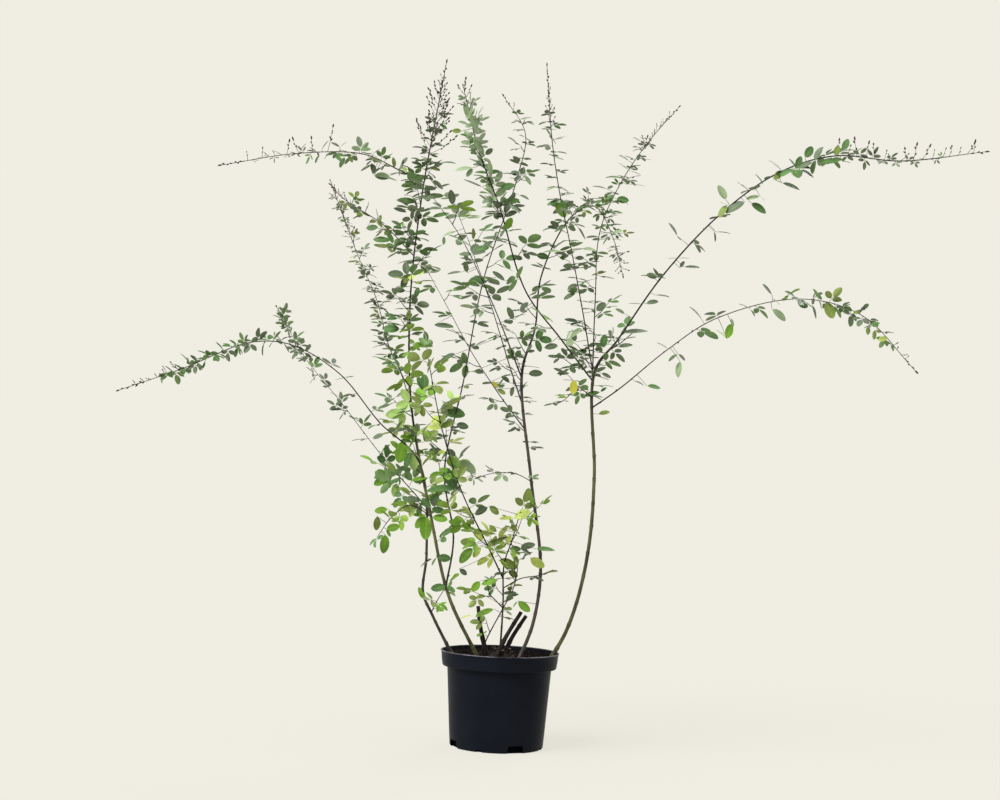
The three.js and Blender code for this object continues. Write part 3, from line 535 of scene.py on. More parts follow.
# Scattered leaves on the limbs below the masses: the shoot, where they begin and end, the dress
STRAYS = (
    ("left", 0.29, 0.4, "cluster"), ("left", 0.44, 0.5, "arch_rise"),
    ("tall", 0.2, 0.39, "cluster"), ("left_wisp", 0.04, 0.34, "cluster"),
    ("left_back", 0.06, 0.25, "inner"), ("left_back", 0.3, 0.45, "arch_rise"),
    ("diagonal", 0.12, 0.28, "inner"), ("diagonal", 0.3, 0.42, "stray"),
    ("middle", 0.33, 0.46, "stray"), ("middle", 0.34, 0.45, "stray"),
    ("centre", 0.3, 0.55, "stray"), ("middle", 0.46, 0.51, "branching"),
    ("tall", 0.82, 0.92, "plume_leaves"), ("right", 0.37, 0.45, "branching"),
    ("middle_back", 0.1, 0.32, "stray"), ("low_left", 0.12, 0.3, "stray"),
    ("up_left", 0.1, 0.28, "stray"), ("right_lean", 0.03, 0.24, "branching"),
    ("right_lean", 0.24, 0.32, "stray"), ("slender", 0.03, 0.2, "branching"),
    ("cross_left", 0.02, 0.12, "branching"),
)

# Thin stems finer than the part shows, most of them in the low growth in the middle
THIN_SHOOTS = {
    "thin_left": dict(
        via=(
            (-34, -22, SOIL_TOP), (-28, -30, 198), (2, -34, 262), (20, -36, 300), (26, -38, 345),
            (8, -44, 398),
        ),
        girth=((0, 1.3), (1, 0.8)), dress="thin_bush",
    ),
    "thin_side": dict(
        root=("centre", 262), via=((-12, -52, 278), (-24, -74, 292), (-30, -92, 318)),
        girth=((0, 1.1), (1, 0.8)), dress="thin_bush",
    ),
    "thin_right": dict(
        root=("centre", 300), via=((34, -70, 322), (66, -92, 330), (92, -104, 342)),
        girth=((0, 1.1), (1, 0.8)), dress="thin_bush",
    ),
    "branching_right": dict(
        root=("right", 760), via=((206, 20, 776), (232, 34, 800)), girth=((0, 1.2), (1, 0.8)),
        dress="branching",
    ),
}

# Leaves that stand out in the photograph, by the shoot that bears them. For each: the pixel where
# its leaflets meet, its tint, and for each leaflet its bearing in the picture in degrees, its
# length in pixels and how much of its breadth is seen.
ACCENTS = {
    "tall": (
        (409, 402, "lime", (120, 15, 1), (200, 14, 1), (-35, 13, 1)),
        (405, 412, "lime", (75, 11, 0.9), (190, 20, 1), (250, 17, 0.9)),
        (421, 406, "olive", (238, 12, 0.8), (285, 11, 1)),
        (415, 437, "dusky", (80, 14, 1), (130, 12, 0.7)),
        (416, 437, "fresh", (178, 16, 0.7), (232, 14, 0.4)), (404, 440, "fresh", (257, 24, 1)),
        (414, 453, "lime", (268, 18, 1)), (411, 451, "green", (250, 19, 0.7)),
        (424, 442, "olive", (42, 18, 0.9), (95, 10, 0.3)), (432, 517, "fresh", (-8, 16, 0.8)),
        (437, 557, "green", (-8, 14, 1), (235, 10, 0.3)),
        (446, 586, "green", (192, 16, 1), (-32, 11, 0.8)),
        (428, 478, "fresh", (186, 18, 0.4), (215, 12, 0.3)), (460, 619, "mellow", (22, 12, 0.15)),
        (393, 208, "dusky", (-15, 14, 0.7)), (396, 200, "green", (-5, 20, 0.6)),
        (416, 275, "mellow", (200, 12, 0.8), (20, 9, 0.7)), (392, 290, "dusky", (0, 13, 0.8)),
        (416, 298, "green", (80, 11, 0.9)), (408, 321, "olive", (85, 12, 0.8)),
        (400, 329, "green", (178, 17, 0.9)), (426, 343, "dusky", (90, 12, 0.8)),
        (418, 178, "green", (150, 14, 0.7)), (427, 199, "pale", (90, 14, 0.7), (12, 12, 0.5)),
        (439, 188, "dusky", (28, 12, 0.5)), (440, 163, "dusky", (5, 16, 0.25)),
        (420, 160, "dusky", (160, 10, 0.5), (10, 9, 0.5)), (432, 217, "green", (12, 18, 0.55)),
        (404, 195, "dusky", (22, 14, 0.2)), (440, 124, "green", (4, 8, 0.4), (-35, 9, 0.7)),
    ),
    "left_high": (
        (374, 176, "pale", (-2, 16, 0.9), (-8, 24, 0.2)),
        (374, 164, "dusky", (268, 10, 1), (205, 15, 0.4)), (368, 157, "olive", (-22, 15, 0.4)),
        (385, 161, "dusky", (52, 11, 0.5)), (394, 168, "olive", (90, 11, 0.7)),
        (401, 165, "dusky", (50, 10, 0.8), (-20, 12, 0.3)),
        (340, 147, "dusky", (152, 10, 0.6), (42, 9, 0.2)), (348, 155, "olive", (-58, 9, 0.8)),
        (373, 154, "dusky", (42, 9, 0.2)), (319, 155, "dusky", (240, 9, 0.6)),
        (322, 149, "dusky", (58, 11, 0.2)), (300, 151, "dusky", (54, 10, 0.2)),
        (329, 153, "dusky", (230, 8, 0.3)), (345, 157, "green", (242, 12, 0.8)),
        (373, 173, "dusky", (95, 10, 0.8)), (360, 150, "green", (5, 11, 0.7)),
    ),
    "left_mid": ((366, 229, "green", (12, 12, 0.9)), (373, 240, "green", (2, 17, 0.8))),
    "cross_left": (
        (505, 230, "fresh", (60, 14, 1)), (500, 188, "green", (14, 16, 0.9)),
        (544, 348, "dusky", (12, 14, 0.8)), (513, 320, "dusky", (110, 14, 0.9)),
        (520, 311, "dusky", (50, 12, 0.8)), (473, 168, "pale", (183, 18, 0.45), (235, 11, 0.9)),
        (490, 178, "pale", (90, 17, 0.45), (2, 12, 0.5)), (485, 155, "dusky", (40, 10, 1)),
        (482, 187, "dusky", (157, 20, 0.35)), (488, 196, "dusky", (-50, 18, 0.4)),
        (508, 203, "green", (20, 12, 0.9), (-35, 16, 0.5)), (514, 257, "dusky", (-10, 9, 1)),
        (505, 281, "dusky", (140, 16, 0.6)), (462, 131, "olive", (180, 10, 1)),
        (468, 120, "pale", (80, 13, 0.8)), (464, 102, "pale", (-74, 14, 0.7)),
        (471, 114, "pale", (-72, 18, 0.75)), (475, 140, "pale", (-58, 17, 0.7)),
        (489, 160, "pale", (-85, 16, 0.55)),
    ),
    "up_left": (
        (474, 371, "dusky", (-5, 10, 1)), (492, 381, "yellow", (-50, 8, 0.8)),
        (467, 273, "dusky", (100, 12, 0.9)), (456, 354, "dusky", (200, 20, 0.5)),
    ),
    "low_left": ((434, 325, "dusky", (-5, 20, 0.5)),),
    "right_lean": (
        (616, 199, "green", (-8, 13, 1), (-20, 14, 0.3)),
        (604, 200, "green", (25, 12, 0.7), (200, 10, 0.5)), (604, 212, "dusky", (0, 7, 1)),
        (596, 211, "dusky", (150, 13, 0.4)), (608, 226, "dusky", (12, 15, 0.4)),
        (612, 234, "pale", (22, 12, 0.6)), (599, 237, "dusky", (178, 13, 0.3)),
        (607, 189, "dusky", (165, 15, 0.3), (30, 7, 0.9)),
        (621, 178, "dusky", (170, 16, 0.3), (-30, 9, 0.8)), (626, 184, "dusky", (0, 20, 0.15)),
        (630, 171, "dusky", (145, 15, 0.3), (-15, 12, 0.2)), (629, 161, "dusky", (150, 12, 0.3)),
        (636, 158, "dusky", (30, 6, 1), (-5, 16, 0.2)), (641, 142, "dusky", (145, 10, 0.4)),
    ),
    "middle_back": (
        (471, 253, "green", (25, 20, 0.65)), (473, 240, "olive", (88, 12, 0.6)),
        (466, 218, "pale", (55, 13, 0.5), (3, 14, 0.4)),
        (444, 236, "pale", (30, 13, 0.5), (268, 9, 0.7)), (467, 262, "dusky", (100, 10, 0.9)),
        (462, 272, "dusky", (182, 15, 0.35)), (468, 281, "green", (8, 18, 0.7)),
        (452, 205, "dusky", (92, 16, 0.8)),
    ),
    "left": (
        (426, 516, "fresh", (269, 24, 1), (225, 17, 0.9), (170, 14, 0.4)),
        (424, 599, "fresh", (112, 13, 0.9)), (432, 559, "dusky", (208, 15, 0.3)),
        (421, 501, "dusky", (166, 16, 0.6)),
    ),
    "left_wisp": (
        (396, 397, "dusky", (215, 22, 0.2), (35, 12, 0.3)), (384, 434, "dusky", (200, 12, 0.8)),
    ),
    "left_back": (
        (396, 473, "olive", (130, 14, 1)), (386, 473, "green", (200, 13, 0.7), (265, 15, 0.6)),
        (396, 483, "lime", (262, 15, 1), (285, 15, 0.5)), (402, 478, "green", (203, 16, 0.5)),
    ),
    "left_droop": (
        (415, 509, "olive", (182, 12, 1)), (388, 509, "fresh", (190, 14, 1)),
        (377, 516, "olive", (268, 15, 0.8)), (386, 529, "fresh", (12, 14, 1), (-60, 9, 0.6)),
        (385, 534, "fresh", (268, 20, 0.9)),
    ),
    "foot": ((440, 604, "fresh", (250, 9, 0.9), (-35, 10, 0.6)),),
    "diagonal": (
        (440, 411, "green", (38, 17, 0.8), (-6, 26, 0.8)), (456, 424, "dusky", (-15, 13, 1)),
        (428, 451, "dusky", (0, 13, 1)), (453, 400, "lime", (118, 11, 1), (35, 9, 0.6)),
        (500, 238, "dusky", (178, 18, 0.4), (65, 11, 0.6)),
        (494, 241, "dusky", (205, 14, 0.5), (75, 10, 0.5)),
        (524, 175, "pale", (-50, 12, 0.7), (88, 9, 0.6)), (519, 195, "dusky", (-20, 11, 0.5)),
        (447, 449, "dusky", (-38, 11, 0.9)),
    ),
    "inner": (
        (424, 391, "green", (88, 17, 1), (112, 16, 0.7), (18, 18, 0.3)),
        (440, 428, "olive", (28, 15, 0.8), (75, 16, 0.5)), (446, 452, "mellow", (182, 8, 1)),
        (476, 474, "pale", (136, 20, 0.8)), (456, 489, "green", (118, 25, 0.9), (178, 30, 0.4)),
        (434, 497, "dusky", (272, 10, 1)), (488, 507, "dusky", (208, 15, 0.8)),
        (459, 569, "dusky", (-35, 10, 0.9)),
    ),
    "centre": (
        (489, 506, "olive", (-38, 13, 0.9)), (514, 518, "mellow", (24, 18, 0.8), (182, 15, 0.4)),
        (511, 524, "olive", (-55, 10, 1)), (489, 525, "olive", (-42, 10, 1)),
        (500, 541, "olive", (196, 14, 0.8)), (500, 549, "mellow", (60, 9, 0.9)),
        (506, 544, "mellow", (60, 10, 1)), (509, 549, "green", (2, 12, 0.9)),
        (520, 548, "dusky", (14, 16, 0.8), (-32, 13, 0.5)), (536, 549, "green", (-2, 19, 0.4)),
        (516, 568, "olive", (88, 13, 0.8), (150, 18, 0.9)), (502, 594, "dusky", (8, 15, 0.4)),
    ),
    "thin_left": (
        (483, 541, "mellow", (132, 14, 0.8)), (477, 544, "olive", (170, 17, 0.9)),
        (481, 547, "mellow", (232, 13, 0.9)), (473, 548, "fresh", (225, 20, 0.8)),
        (494, 609, "fresh", (200, 20, 0.4)), (486, 596, "olive", (186, 10, 0.7)),
        (483, 634, "fresh", (192, 7, 0.8), (40, 5, 0.6)),
    ),
    "thin_side": ((480, 581, "fresh", (232, 13, 1)), (498, 580, "fresh", (192, 17, 0.7))),
    "middle": (
        (530, 558, "mellow", (-32, 17, 1)), (536, 255, "green", (-8, 13, 1)),
        (578, 227, "dusky", (-58, 15, 0.4)), (573, 213, "green", (35, 14, 0.3), (150, 10, 0.4)),
        (583, 207, "dusky", (40, 13, 0.4)), (590, 205, "dusky", (30, 12, 0.4), (200, 11, 0.4)),
        (553, 250, "dusky", (45, 15, 0.3)), (557, 227, "dusky", (188, 15, 0.25)),
        (528, 374, "dusky", (5, 15, 0.9)), (514, 386, "dusky", (250, 11, 0.7), (95, 8, 0.5)),
        (510, 383, "dusky", (138, 11, 0.7)), (497, 389, "olive", (-30, 10, 0.9)),
        (522, 358, "dusky", (125, 9, 0.9)), (527, 352, "dusky", (60, 9, 0.7), (10, 8, 0.8)),
        (518, 601, "fresh", (-42, 16, 1), (225, 8, 0.3)),
    ),
    "slender": (
        (556, 202, "fresh", (-58, 18, 1)), (560, 200, "green", (200, 14, 0.6), (-45, 12, 0.8)),
        (570, 194, "dusky", (140, 14, 0.3)), (568, 226, "dusky", (-30, 9, 1), (200, 15, 0.35)),
        (562, 252, "pale", (175, 19, 0.35)), (575, 258, "dusky", (0, 9, 1)),
        (582, 249, "pale", (0, 15, 0.5)), (596, 311, "dusky", (40, 13, 1)),
        (567, 290, "dusky", (30, 12, 0.9)), (576, 293, "dusky", (200, 14, 0.6)),
        (603, 348, "green", (82, 14, 0.9)), (575, 342, "dusky", (100, 10, 1)),
    ),
    "fork": (
        (573, 395, "yellow", (86, 15, 1)), (568, 397, "lime", (178, 11, 0.5)),
        (589, 390, "green", (155, 9, 0.9)), (600, 392, "green", (192, 17, 0.5), (35, 8, 0.6)),
    ),
    "right": (
        (598, 414, "olive", (12, 12, 0.7)), (601, 373, "dusky", (-22, 11, 0.6)),
        (624, 333, "dusky", (8, 25, 0.4)), (618, 347, "dusky", (12, 15, 0.6)),
        (646, 304, "dusky", (16, 13, 0.6)), (625, 314, "dusky", (150, 11, 0.6)),
        (642, 304, "dusky", (175, 14, 0.2)), (655, 295, "dusky", (-5, 15, 0.2)),
        (653, 277, "dusky", (170, 13, 0.25), (0, 13, 0.15)), (680, 268, "dusky", (60, 8, 0.9)),
        (684, 267, "dusky", (0, 16, 0.4)), (678, 258, "dusky", (180, 10, 0.15), (0, 12, 0.15)),
        (677, 236, "dusky", (120, 16, 0.35), (-45, 6, 0.5)), (703, 228, "dusky", (-15, 7, 0.3)),
        (716, 232, "dusky", (0, 15, 0.12)), (714, 231, "dusky", (-78, 11, 0.4)),
        (726, 200, "pale", (116, 17, 0.9)), (727, 205, "olive", (235, 15, 0.7), (155, 10, 0.2)),
        (745, 202, "dusky", (203, 22, 0.7)), (760, 196, "pale", (188, 14, 0.6), (-45, 7, 0.3)),
        (751, 203, "green", (-32, 18, 0.8)), (749, 191, "dusky", (138, 15, 0.3)),
        (763, 184, "dusky", (124, 13, 0.4)), (774, 180, "olive", (50, 13, 1), (-15, 9, 0.4)),
        (782, 183, "dusky", (-20, 19, 0.6)), (782, 171, "dusky", (135, 18, 0.4)),
        (796, 168, "green", (66, 13, 1), (122, 12, 0.5)), (813, 162, "dusky", (197, 15, 0.6)),
        (800, 170, "dusky", (-20, 17, 0.5)), (805, 158, "green", (56, 15, 1)),
        (815, 161, "dusky", (68, 16, 0.6), (-35, 11, 0.3)),
        (840, 161, "green", (180, 19, 0.6), (-5, 11, 0.3)),
        (843, 151, "green", (68, 13, 0.9), (8, 12, 0.3)), (835, 156, "olive", (72, 11, 1)),
    ),
    "right_low": (
        (668, 349, "dusky", (148, 13, 0.3)), (634, 381, "dusky", (-20, 11, 0.4)),
        (647, 386, "green", (-5, 14, 0.6)), (680, 361, "pale", (262, 17, 0.7)),
        (702, 320, "dusky", (128, 19, 0.25)), (750, 309, "dusky", (150, 13, 0.25), (-55, 9, 0.4)),
        (774, 299, "dusky", (-40, 8, 0.25)), (678, 354, "dusky", (-40, 10, 0.6), (212, 12, 0.4)),
        (727, 339, "fresh", (74, 16, 1), (132, 14, 0.3)), (733, 328, "pale", (95, 10, 0.7)),
        (772, 295, "dusky", (130, 15, 0.5)), (772, 309, "pale", (-38, 18, 0.8)),
        (795, 297, "dusky", (145, 12, 0.5)), (797, 301, "green", (-28, 13, 1)),
        (812, 305, "dusky", (-68, 15, 0.5)), (826, 302, "olive", (-66, 18, 1)),
        (862, 309, "dusky", (35, 9, 1)), (853, 314, "olive", (22, 10, 0.8)),
        (868, 326, "olive", (-92, 9, 1)), (870, 325, "green", (14, 10, 0.7)),
        (888, 338, "mellow", (190, 10, 1)),
    ),
}

OLIVE_CANES = ("tall_cane", "right_cane")

# Leaf tints: upper side and underside
TINTS = {
    "dusky": ((0.08, 0.115, 0.06), (0.145, 0.19, 0.11)),
    "green": ((0.06, 0.14, 0.034), (0.14, 0.24, 0.085)),
    "pale": ((0.23, 0.32, 0.17), (0.31, 0.39, 0.25)),
    "fresh": ((0.125, 0.27, 0.018), (0.21, 0.35, 0.05)),
    "olive": ((0.16, 0.23, 0.045), (0.24, 0.31, 0.09)),
    "lime": ((0.43, 0.64, 0.19), (0.5, 0.68, 0.28)),
    "mellow": ((0.42, 0.52, 0.1), (0.48, 0.56, 0.18)),
    "yellow": ((0.42, 0.4, 0.035), (0.46, 0.44, 0.09)),
}

# Leaf surfaces: roughness and gloss of both sides, how far their tones reach, and their patterns
LEAF_GLOSS = ((0.5, 0.3), (0.65, 0.2))
LEAF_TONES = 0.3
LEAF_SCALE = 32
LEAF_GRAIN, LEAF_GRAIN_SCALE = 0.15, 700
RAMP = (0.3, 0.7)
TONE_DETAIL, GRAIN_DETAIL = 3, 4
GRAIN_STRENGTH = 0.6

# Other surfaces: darker and lighter tone, scale of their pattern, roughness, gloss, height and
# scale of the grain, and how fast the pattern changes upward
FINISHES = {
    "cane_bark": ((0.01, 0.0075, 0.006), (0.062, 0.049, 0.037), 90, 0.55, 0.4, 0.4, 500, 0.3),
    "olive_bark": ((0.018, 0.018, 0.0065), (0.1, 0.102, 0.032), 90, 0.55, 0.4, 0.4, 500, 0.3),
    "bough_bark": ((0.009, 0.007, 0.005), (0.035, 0.027, 0.02), 60, 0.6, 0.3, 0.3, 500, 0.25),
    "twig_bark": ((0.006, 0.005, 0.004), (0.02, 0.015, 0.011), 80, 0.6, 0.25),
    "leaf_stalk": ((0.03, 0.03, 0.014), (0.065, 0.062, 0.027), 80, 0.55, 0.35),
    "old_wood": ((0.007, 0.005, 0.004), (0.025, 0.018, 0.015), 90, 0.85, 0.25, 0.6, 400),
    "cut_wood": ((0.05, 0.036, 0.026), (0.11, 0.08, 0.055), 200, 0.8, 0.3, 0.3, 600),
    "spike_axis": ((0.018, 0.013, 0.01), (0.045, 0.033, 0.025), 80, 0.7, 0.25),
    "seed_head": ((0.012, 0.009, 0.008), (0.035, 0.025, 0.02), 150, 0.75, 0.25),
    "dry_seed_head": ((0.09, 0.065, 0.04), (0.16, 0.12, 0.075), 150, 0.75, 0.25),
    "pot_plastic": ((0.0042, 0.0052, 0.009), (0.0065, 0.008, 0.0135), 12, 0.42, 0.1, 0.1, 900),
    # Near black: painted shade for the faces inside the notches
    "pot_notch_painted_shade": ((0.0006, 0.0006, 0.001), (0.0012, 0.0012, 0.002), 12, 0.8, 0.02),
    # Pale line along the top of the lip: a painted highlight
    "pot_lip_painted_highlight": ((0.004, 0.0045, 0.011), (0.11, 0.11, 0.13), 40, 0.35, 0.3, 0.1, 900),
    "compost": ((0.0014, 0.0012, 0.0014), (0.0045, 0.0034, 0.0032), 130, 0.95, 0.04, 1.2, 350),
    "chip_dark": ((0.004, 0.003, 0.003), (0.013, 0.009, 0.0085), 150, 0.9, 0.04, 0.6, 400),
    "chip_brown": ((0.014, 0.009, 0.009), (0.045, 0.026, 0.026), 150, 0.9, 0.08, 0.6, 400),
    "chip_pale": ((0.035, 0.022, 0.018), (0.075, 0.048, 0.038), 150, 0.9, 0.1, 0.6, 400),
}


def seeded(seed):
    """The same numbers each time, between 0 and 1, as in the part's source."""
    state = (seed * SEED_STEP + SEED_START) % MODULUS

    def draw():
        nonlocal state
        state = state * MULTIPLIER % MODULUS
        return state / MODULUS

    return draw


def spread(random, reach):
    return (random() * 2 - 1) * reach


def wander(random, reach):
    """A random step in space."""
    return np.array([spread(random, reach) for _ in range(3)])


def between(random, low, high):
    return low + (high - low) * random()


def lerp(first, last, share):
    return first + (last - first) * share


def unit(vector):
    return vector / np.linalg.norm(vector)


def circle(count):
    """Angles at even steps round a circle."""
    return np.arange(count) / count * TURN


def sideways(along, angle):
    """A direction at an angle round a stem, square to it."""
    across = unit(np.array([1.0, 0.0, 0.0]) - along * along[0])
    return across * math.cos(angle) + np.cross(along, across) * math.sin(angle)


def on_line(places, share):
    """The place at a share of a broken line's steps, and the direction there."""
    position = share * (len(places) - 1)
    k = min(int(position), len(places) - 2)
    return lerp(places[k], places[k + 1], position - k), unit(places[k + 1] - places[k])


def catmull_rom(points, t):
    """Places on the centripetal Catmull-Rom curve through the points."""
    last = len(points) - 1
    padded = np.vstack([2 * points[0] - points[1], points, 2 * points[-1] - points[-2]])
    position = np.atleast_1d(t) * last
    i = np.minimum(position.astype(int), last - 1)
    weight = (position - i)[:, None]
    p0, p1, p2, p3 = padded[i], padded[i + 1], padded[i + 2], padded[i + 3]
    pairs = ((p0, p1), (p1, p2), (p2, p3))
    d0, d1, d2 = [np.sqrt(np.linalg.norm(b - a, axis=1))[:, None] for a, b in pairs]
    m1 = ((p1 - p0) / d0 - (p2 - p0) / (d0 + d1) + (p2 - p1) / d1) * d1
    m2 = ((p2 - p1) / d1 - (p3 - p1) / (d1 + d2) + (p3 - p2) / d2) * d1
    c2 = -3 * p1 + 3 * p2 - 2 * m1 - m2
    c3 = 2 * p1 - 2 * p2 + m1 + m2
    return p1 + weight * (m1 + weight * (c2 + weight * c3))


class Shoot:
    """A shoot as a smooth curve with a tapering radius."""

    def __init__(self, plan, shoots):
        places = [np.array(place, float) for place in plan["via"]]
        self.grounded = "root" not in plan
        if not self.grounded:
            parent, height = plan["root"]
            places.insert(0, shoots[parent].place_at_height(height))
        self.points = np.array(places)
        self.steps = np.linspace(0, 1, CURVE_STEPS)
        self.line = catmull_rom(self.points, self.steps)
        gaps = np.linalg.norm(np.diff(self.line, axis=0), axis=1)
        self.reach = np.concatenate([[0], np.cumsum(gaps)])
        self.length = self.reach[-1]
        self.girth = np.array(plan["girth"]).T

    def share(self, distance):
        return np.interp(distance, self.reach, self.steps)

    def place(self, distance):
        return catmull_rom(self.points, self.share(distance))[0]

    def along(self, distance):
        t = self.share(distance)
        ends = catmull_rom(self.points, np.clip([t - CURVE_NUDGE, t + CURVE_NUDGE], 0, 1))
        return unit(ends[1] - ends[0])

    def radius(self, distance):
        flare = FLARE * math.exp(-distance / FLARE_HEIGHT) if self.grounded else 0
        return float(np.interp(distance / self.length, *self.girth)) * (1 + flare)

    def place_at_height(self, height):
        distance = 0
        while self.place(distance)[2] < height:
            distance += 1
        return self.place(distance)


class Pile:
    """Corners and faces gathered for one piece, with a finish number for each face."""

    def __init__(self):
        self.corners = []
        self.faces = []
        self.finishes = []
        self.count = 0

    def add(self, corners, faces, finishes=0):
        self.corners.append(np.asarray(corners, float))
        start = self.count
        self.faces.extend([tuple(i + start for i in face) for face in faces])
        self.finishes.extend(finishes if isinstance(finishes, list) else [finishes] * len(faces))
        self.count += len(corners)

    def mesh(self, name):
        mesh = bpy.data.meshes.new(name)
        mesh.from_pydata((np.vstack(self.corners) * MM).tolist(), [], self.faces)
        mesh.polygons.foreach_set("material_index", self.finishes)
        mesh.shade_smooth()
        mesh.update()
        return mesh


def tube_faces(rings, sides, cap_start, cap_end):
    faces = []
    for i in range(rings - 1):
        for k in range(sides):
            a, b = i * sides + k, i * sides + (k + 1) % sides
            faces.append((a, b, b + sides, a + sides))
    if cap_start:
        faces.append(tuple(reversed(range(sides))))
    if cap_end:
        faces.append(tuple(range((rings - 1) * sides, rings * sides)))
    return faces


def add_tube(pile, places, radii, sides, relief=None, caps=(False, True), finish=0):
    """A tube of rings round a line. relief swells each corner of each ring by a share."""
    places = np.asarray(places, float)
    alongs = np.gradient(places, axis=0)
    if relief is None:
        relief = np.zeros((len(places), sides))
    across = SEAM_SIDE
    angles = circle(sides)
    corners = []
    for place, along, radius, swell in zip(places, alongs, radii, relief):
        along = unit(along)
        across = unit(across - along * across.dot(along))
        other = np.cross(along, across)
        reach = radius * (1 + swell)
        ring = np.outer(np.cos(angles) * reach, across) + np.outer(np.sin(angles) * reach, other)
        corners.append(place + ring)
    pile.add(np.vstack(corners), tube_faces(len(places), sides, *caps), finish)


def bark_relief(distances, sides, knots, random):
    """Ridges along the bark, and a swelling at each knot."""
    length = distances[-1] - distances[0]
    marks = np.linspace(distances[0], distances[-1], max(2, int(length / RIDGE_LENGTH)))
    relief = np.empty((len(distances), sides))
    for k in range(sides):
        relief[:, k] = np.interp(distances, marks, [spread(random, RIDGE) for _ in marks])
    for knot in knots:
        relief += (KNOT_SWELL * np.exp(-((distances - knot) / KNOT_REACH) ** 2))[:, None]
    return relief


def add_stem(pile, shoot, start, end, sides, step, knots, random, finish=0):
    distances = np.linspace(start, end, max(3, int((end - start) / step) + 1))
    places = [shoot.place(distance) for distance in distances]
    radii = [shoot.radius(distance) for distance in distances]
    relief = bark_relief(distances, sides, knots, random)
    add_tube(pile, places, radii, sides, relief, finish=finish)


def add_limb(pile, shoot, start, end, random, finish):
    """A bare length of shoot with knots, and a small pointed bud at each of them."""
    knots = []
    at = start + FIRST_KNOT
    while at < end - LAST_KNOT:
        knots.append(at)
        at += between(random, *KNOT_SPACING)
    add_stem(pile, shoot, start, end, LIMB_SIDES, LIMB_STEP, knots, random, finish)
    for i, knot in enumerate(knots):
        along = shoot.along(knot)
        out = sideways(along, i * SPIRAL)
        root = shoot.place(knot) + out * shoot.radius(knot) * BUD_ROOT
        direction = unit(out * BUD_SPLAY + along)
        length = between(random, *BUD_LENGTHS)
        places = [root + direction * length * share for share in BUD_RINGS]
        add_tube(pile, places, [length * girth for girth in BUD_GIRTH], TWIG_SIDES)


def leaflet_shape():
    """Corners of a leaflet as shares of its length and half width, its faces and their finish.

    The third number is the share of the thickness: 0 on the upper side and on the rim."""
    across = LEAFLET_ACROSS
    corners, faces, finishes = [], [], []
    for under in (0, 1):
        start = len(corners)
        for u, wide in LEAFLET_OUTLINE:
            corners.extend((u, wide * v, under * (1 - abs(v))) for v in across)
        foot, tip = len(corners), len(corners) + 1
        corners.extend([(0, 0, 0), (1, 0, 0)])
        side = []
        for i in range(len(LEAFLET_OUTLINE) - 1):
            for k in range(len(across) - 1):
                a = start + i * len(across) + k
                side.append((a, a + len(across), a + len(across) + 1, a + 1))
        last = foot - len(across)
        for k in range(len(across) - 1):
            side.extend([(foot, start + k, start + k + 1), (tip, last + k + 1, last + k)])
        for face in side:
            middle = sum(corners[i][1] for i in face) / len(face)
            finishes.append(1 if under or abs(middle) < MIDRIB else 0)
        faces.extend(tuple(reversed(face)) if under else face for face in side)
    return np.array(corners), faces, finishes


def camera_axes():
    """The camera's directions: ahead, to the right and above."""
    yaw, pitch, roll = CAMERA_YAW, CAMERA_PITCH, CAMERA_ROLL
    level = math.cos(pitch)
    ahead = np.array([math.sin(yaw) * level, math.cos(yaw) * level, math.sin(pitch)])
    right = np.array([math.cos(yaw), -math.sin(yaw), 0])
    above = np.cross(right, ahead)
    rolled = right * math.cos(roll) + above * math.sin(roll)
    return ahead, rolled, above * math.cos(roll) - right * math.sin(roll)


def seen_at(places):
    """The pixels of the photograph at which places are seen."""
    offsets = places - CAMERA_PLACE
    across, up = [offsets @ axis / (offsets @ AHEAD) * FOCAL_PIXELS for axis in (RIGHT, ABOVE)]
    return np.stack([IMAGE_WIDTH / 2 + across, IMAGE_HEIGHT / 2 - up], axis=-1)


def place_seen(x, y, depth):
    """The place seen at a pixel of the photograph, as far back as depth."""
    ray = AHEAD * FOCAL_PIXELS + RIGHT * (x - IMAGE_WIDTH / 2) - ABOVE * (y - IMAGE_HEIGHT / 2)
    return CAMERA_PLACE + ray * (depth - CAMERA_PLACE[1]) / ray[1]


def pick(shares, random):
    """One of the names, each as likely as its share."""
    left = random() * sum(shares.values())
    for name, share in shares.items():
        left -= share
        if left < 0:
            return name
    return name


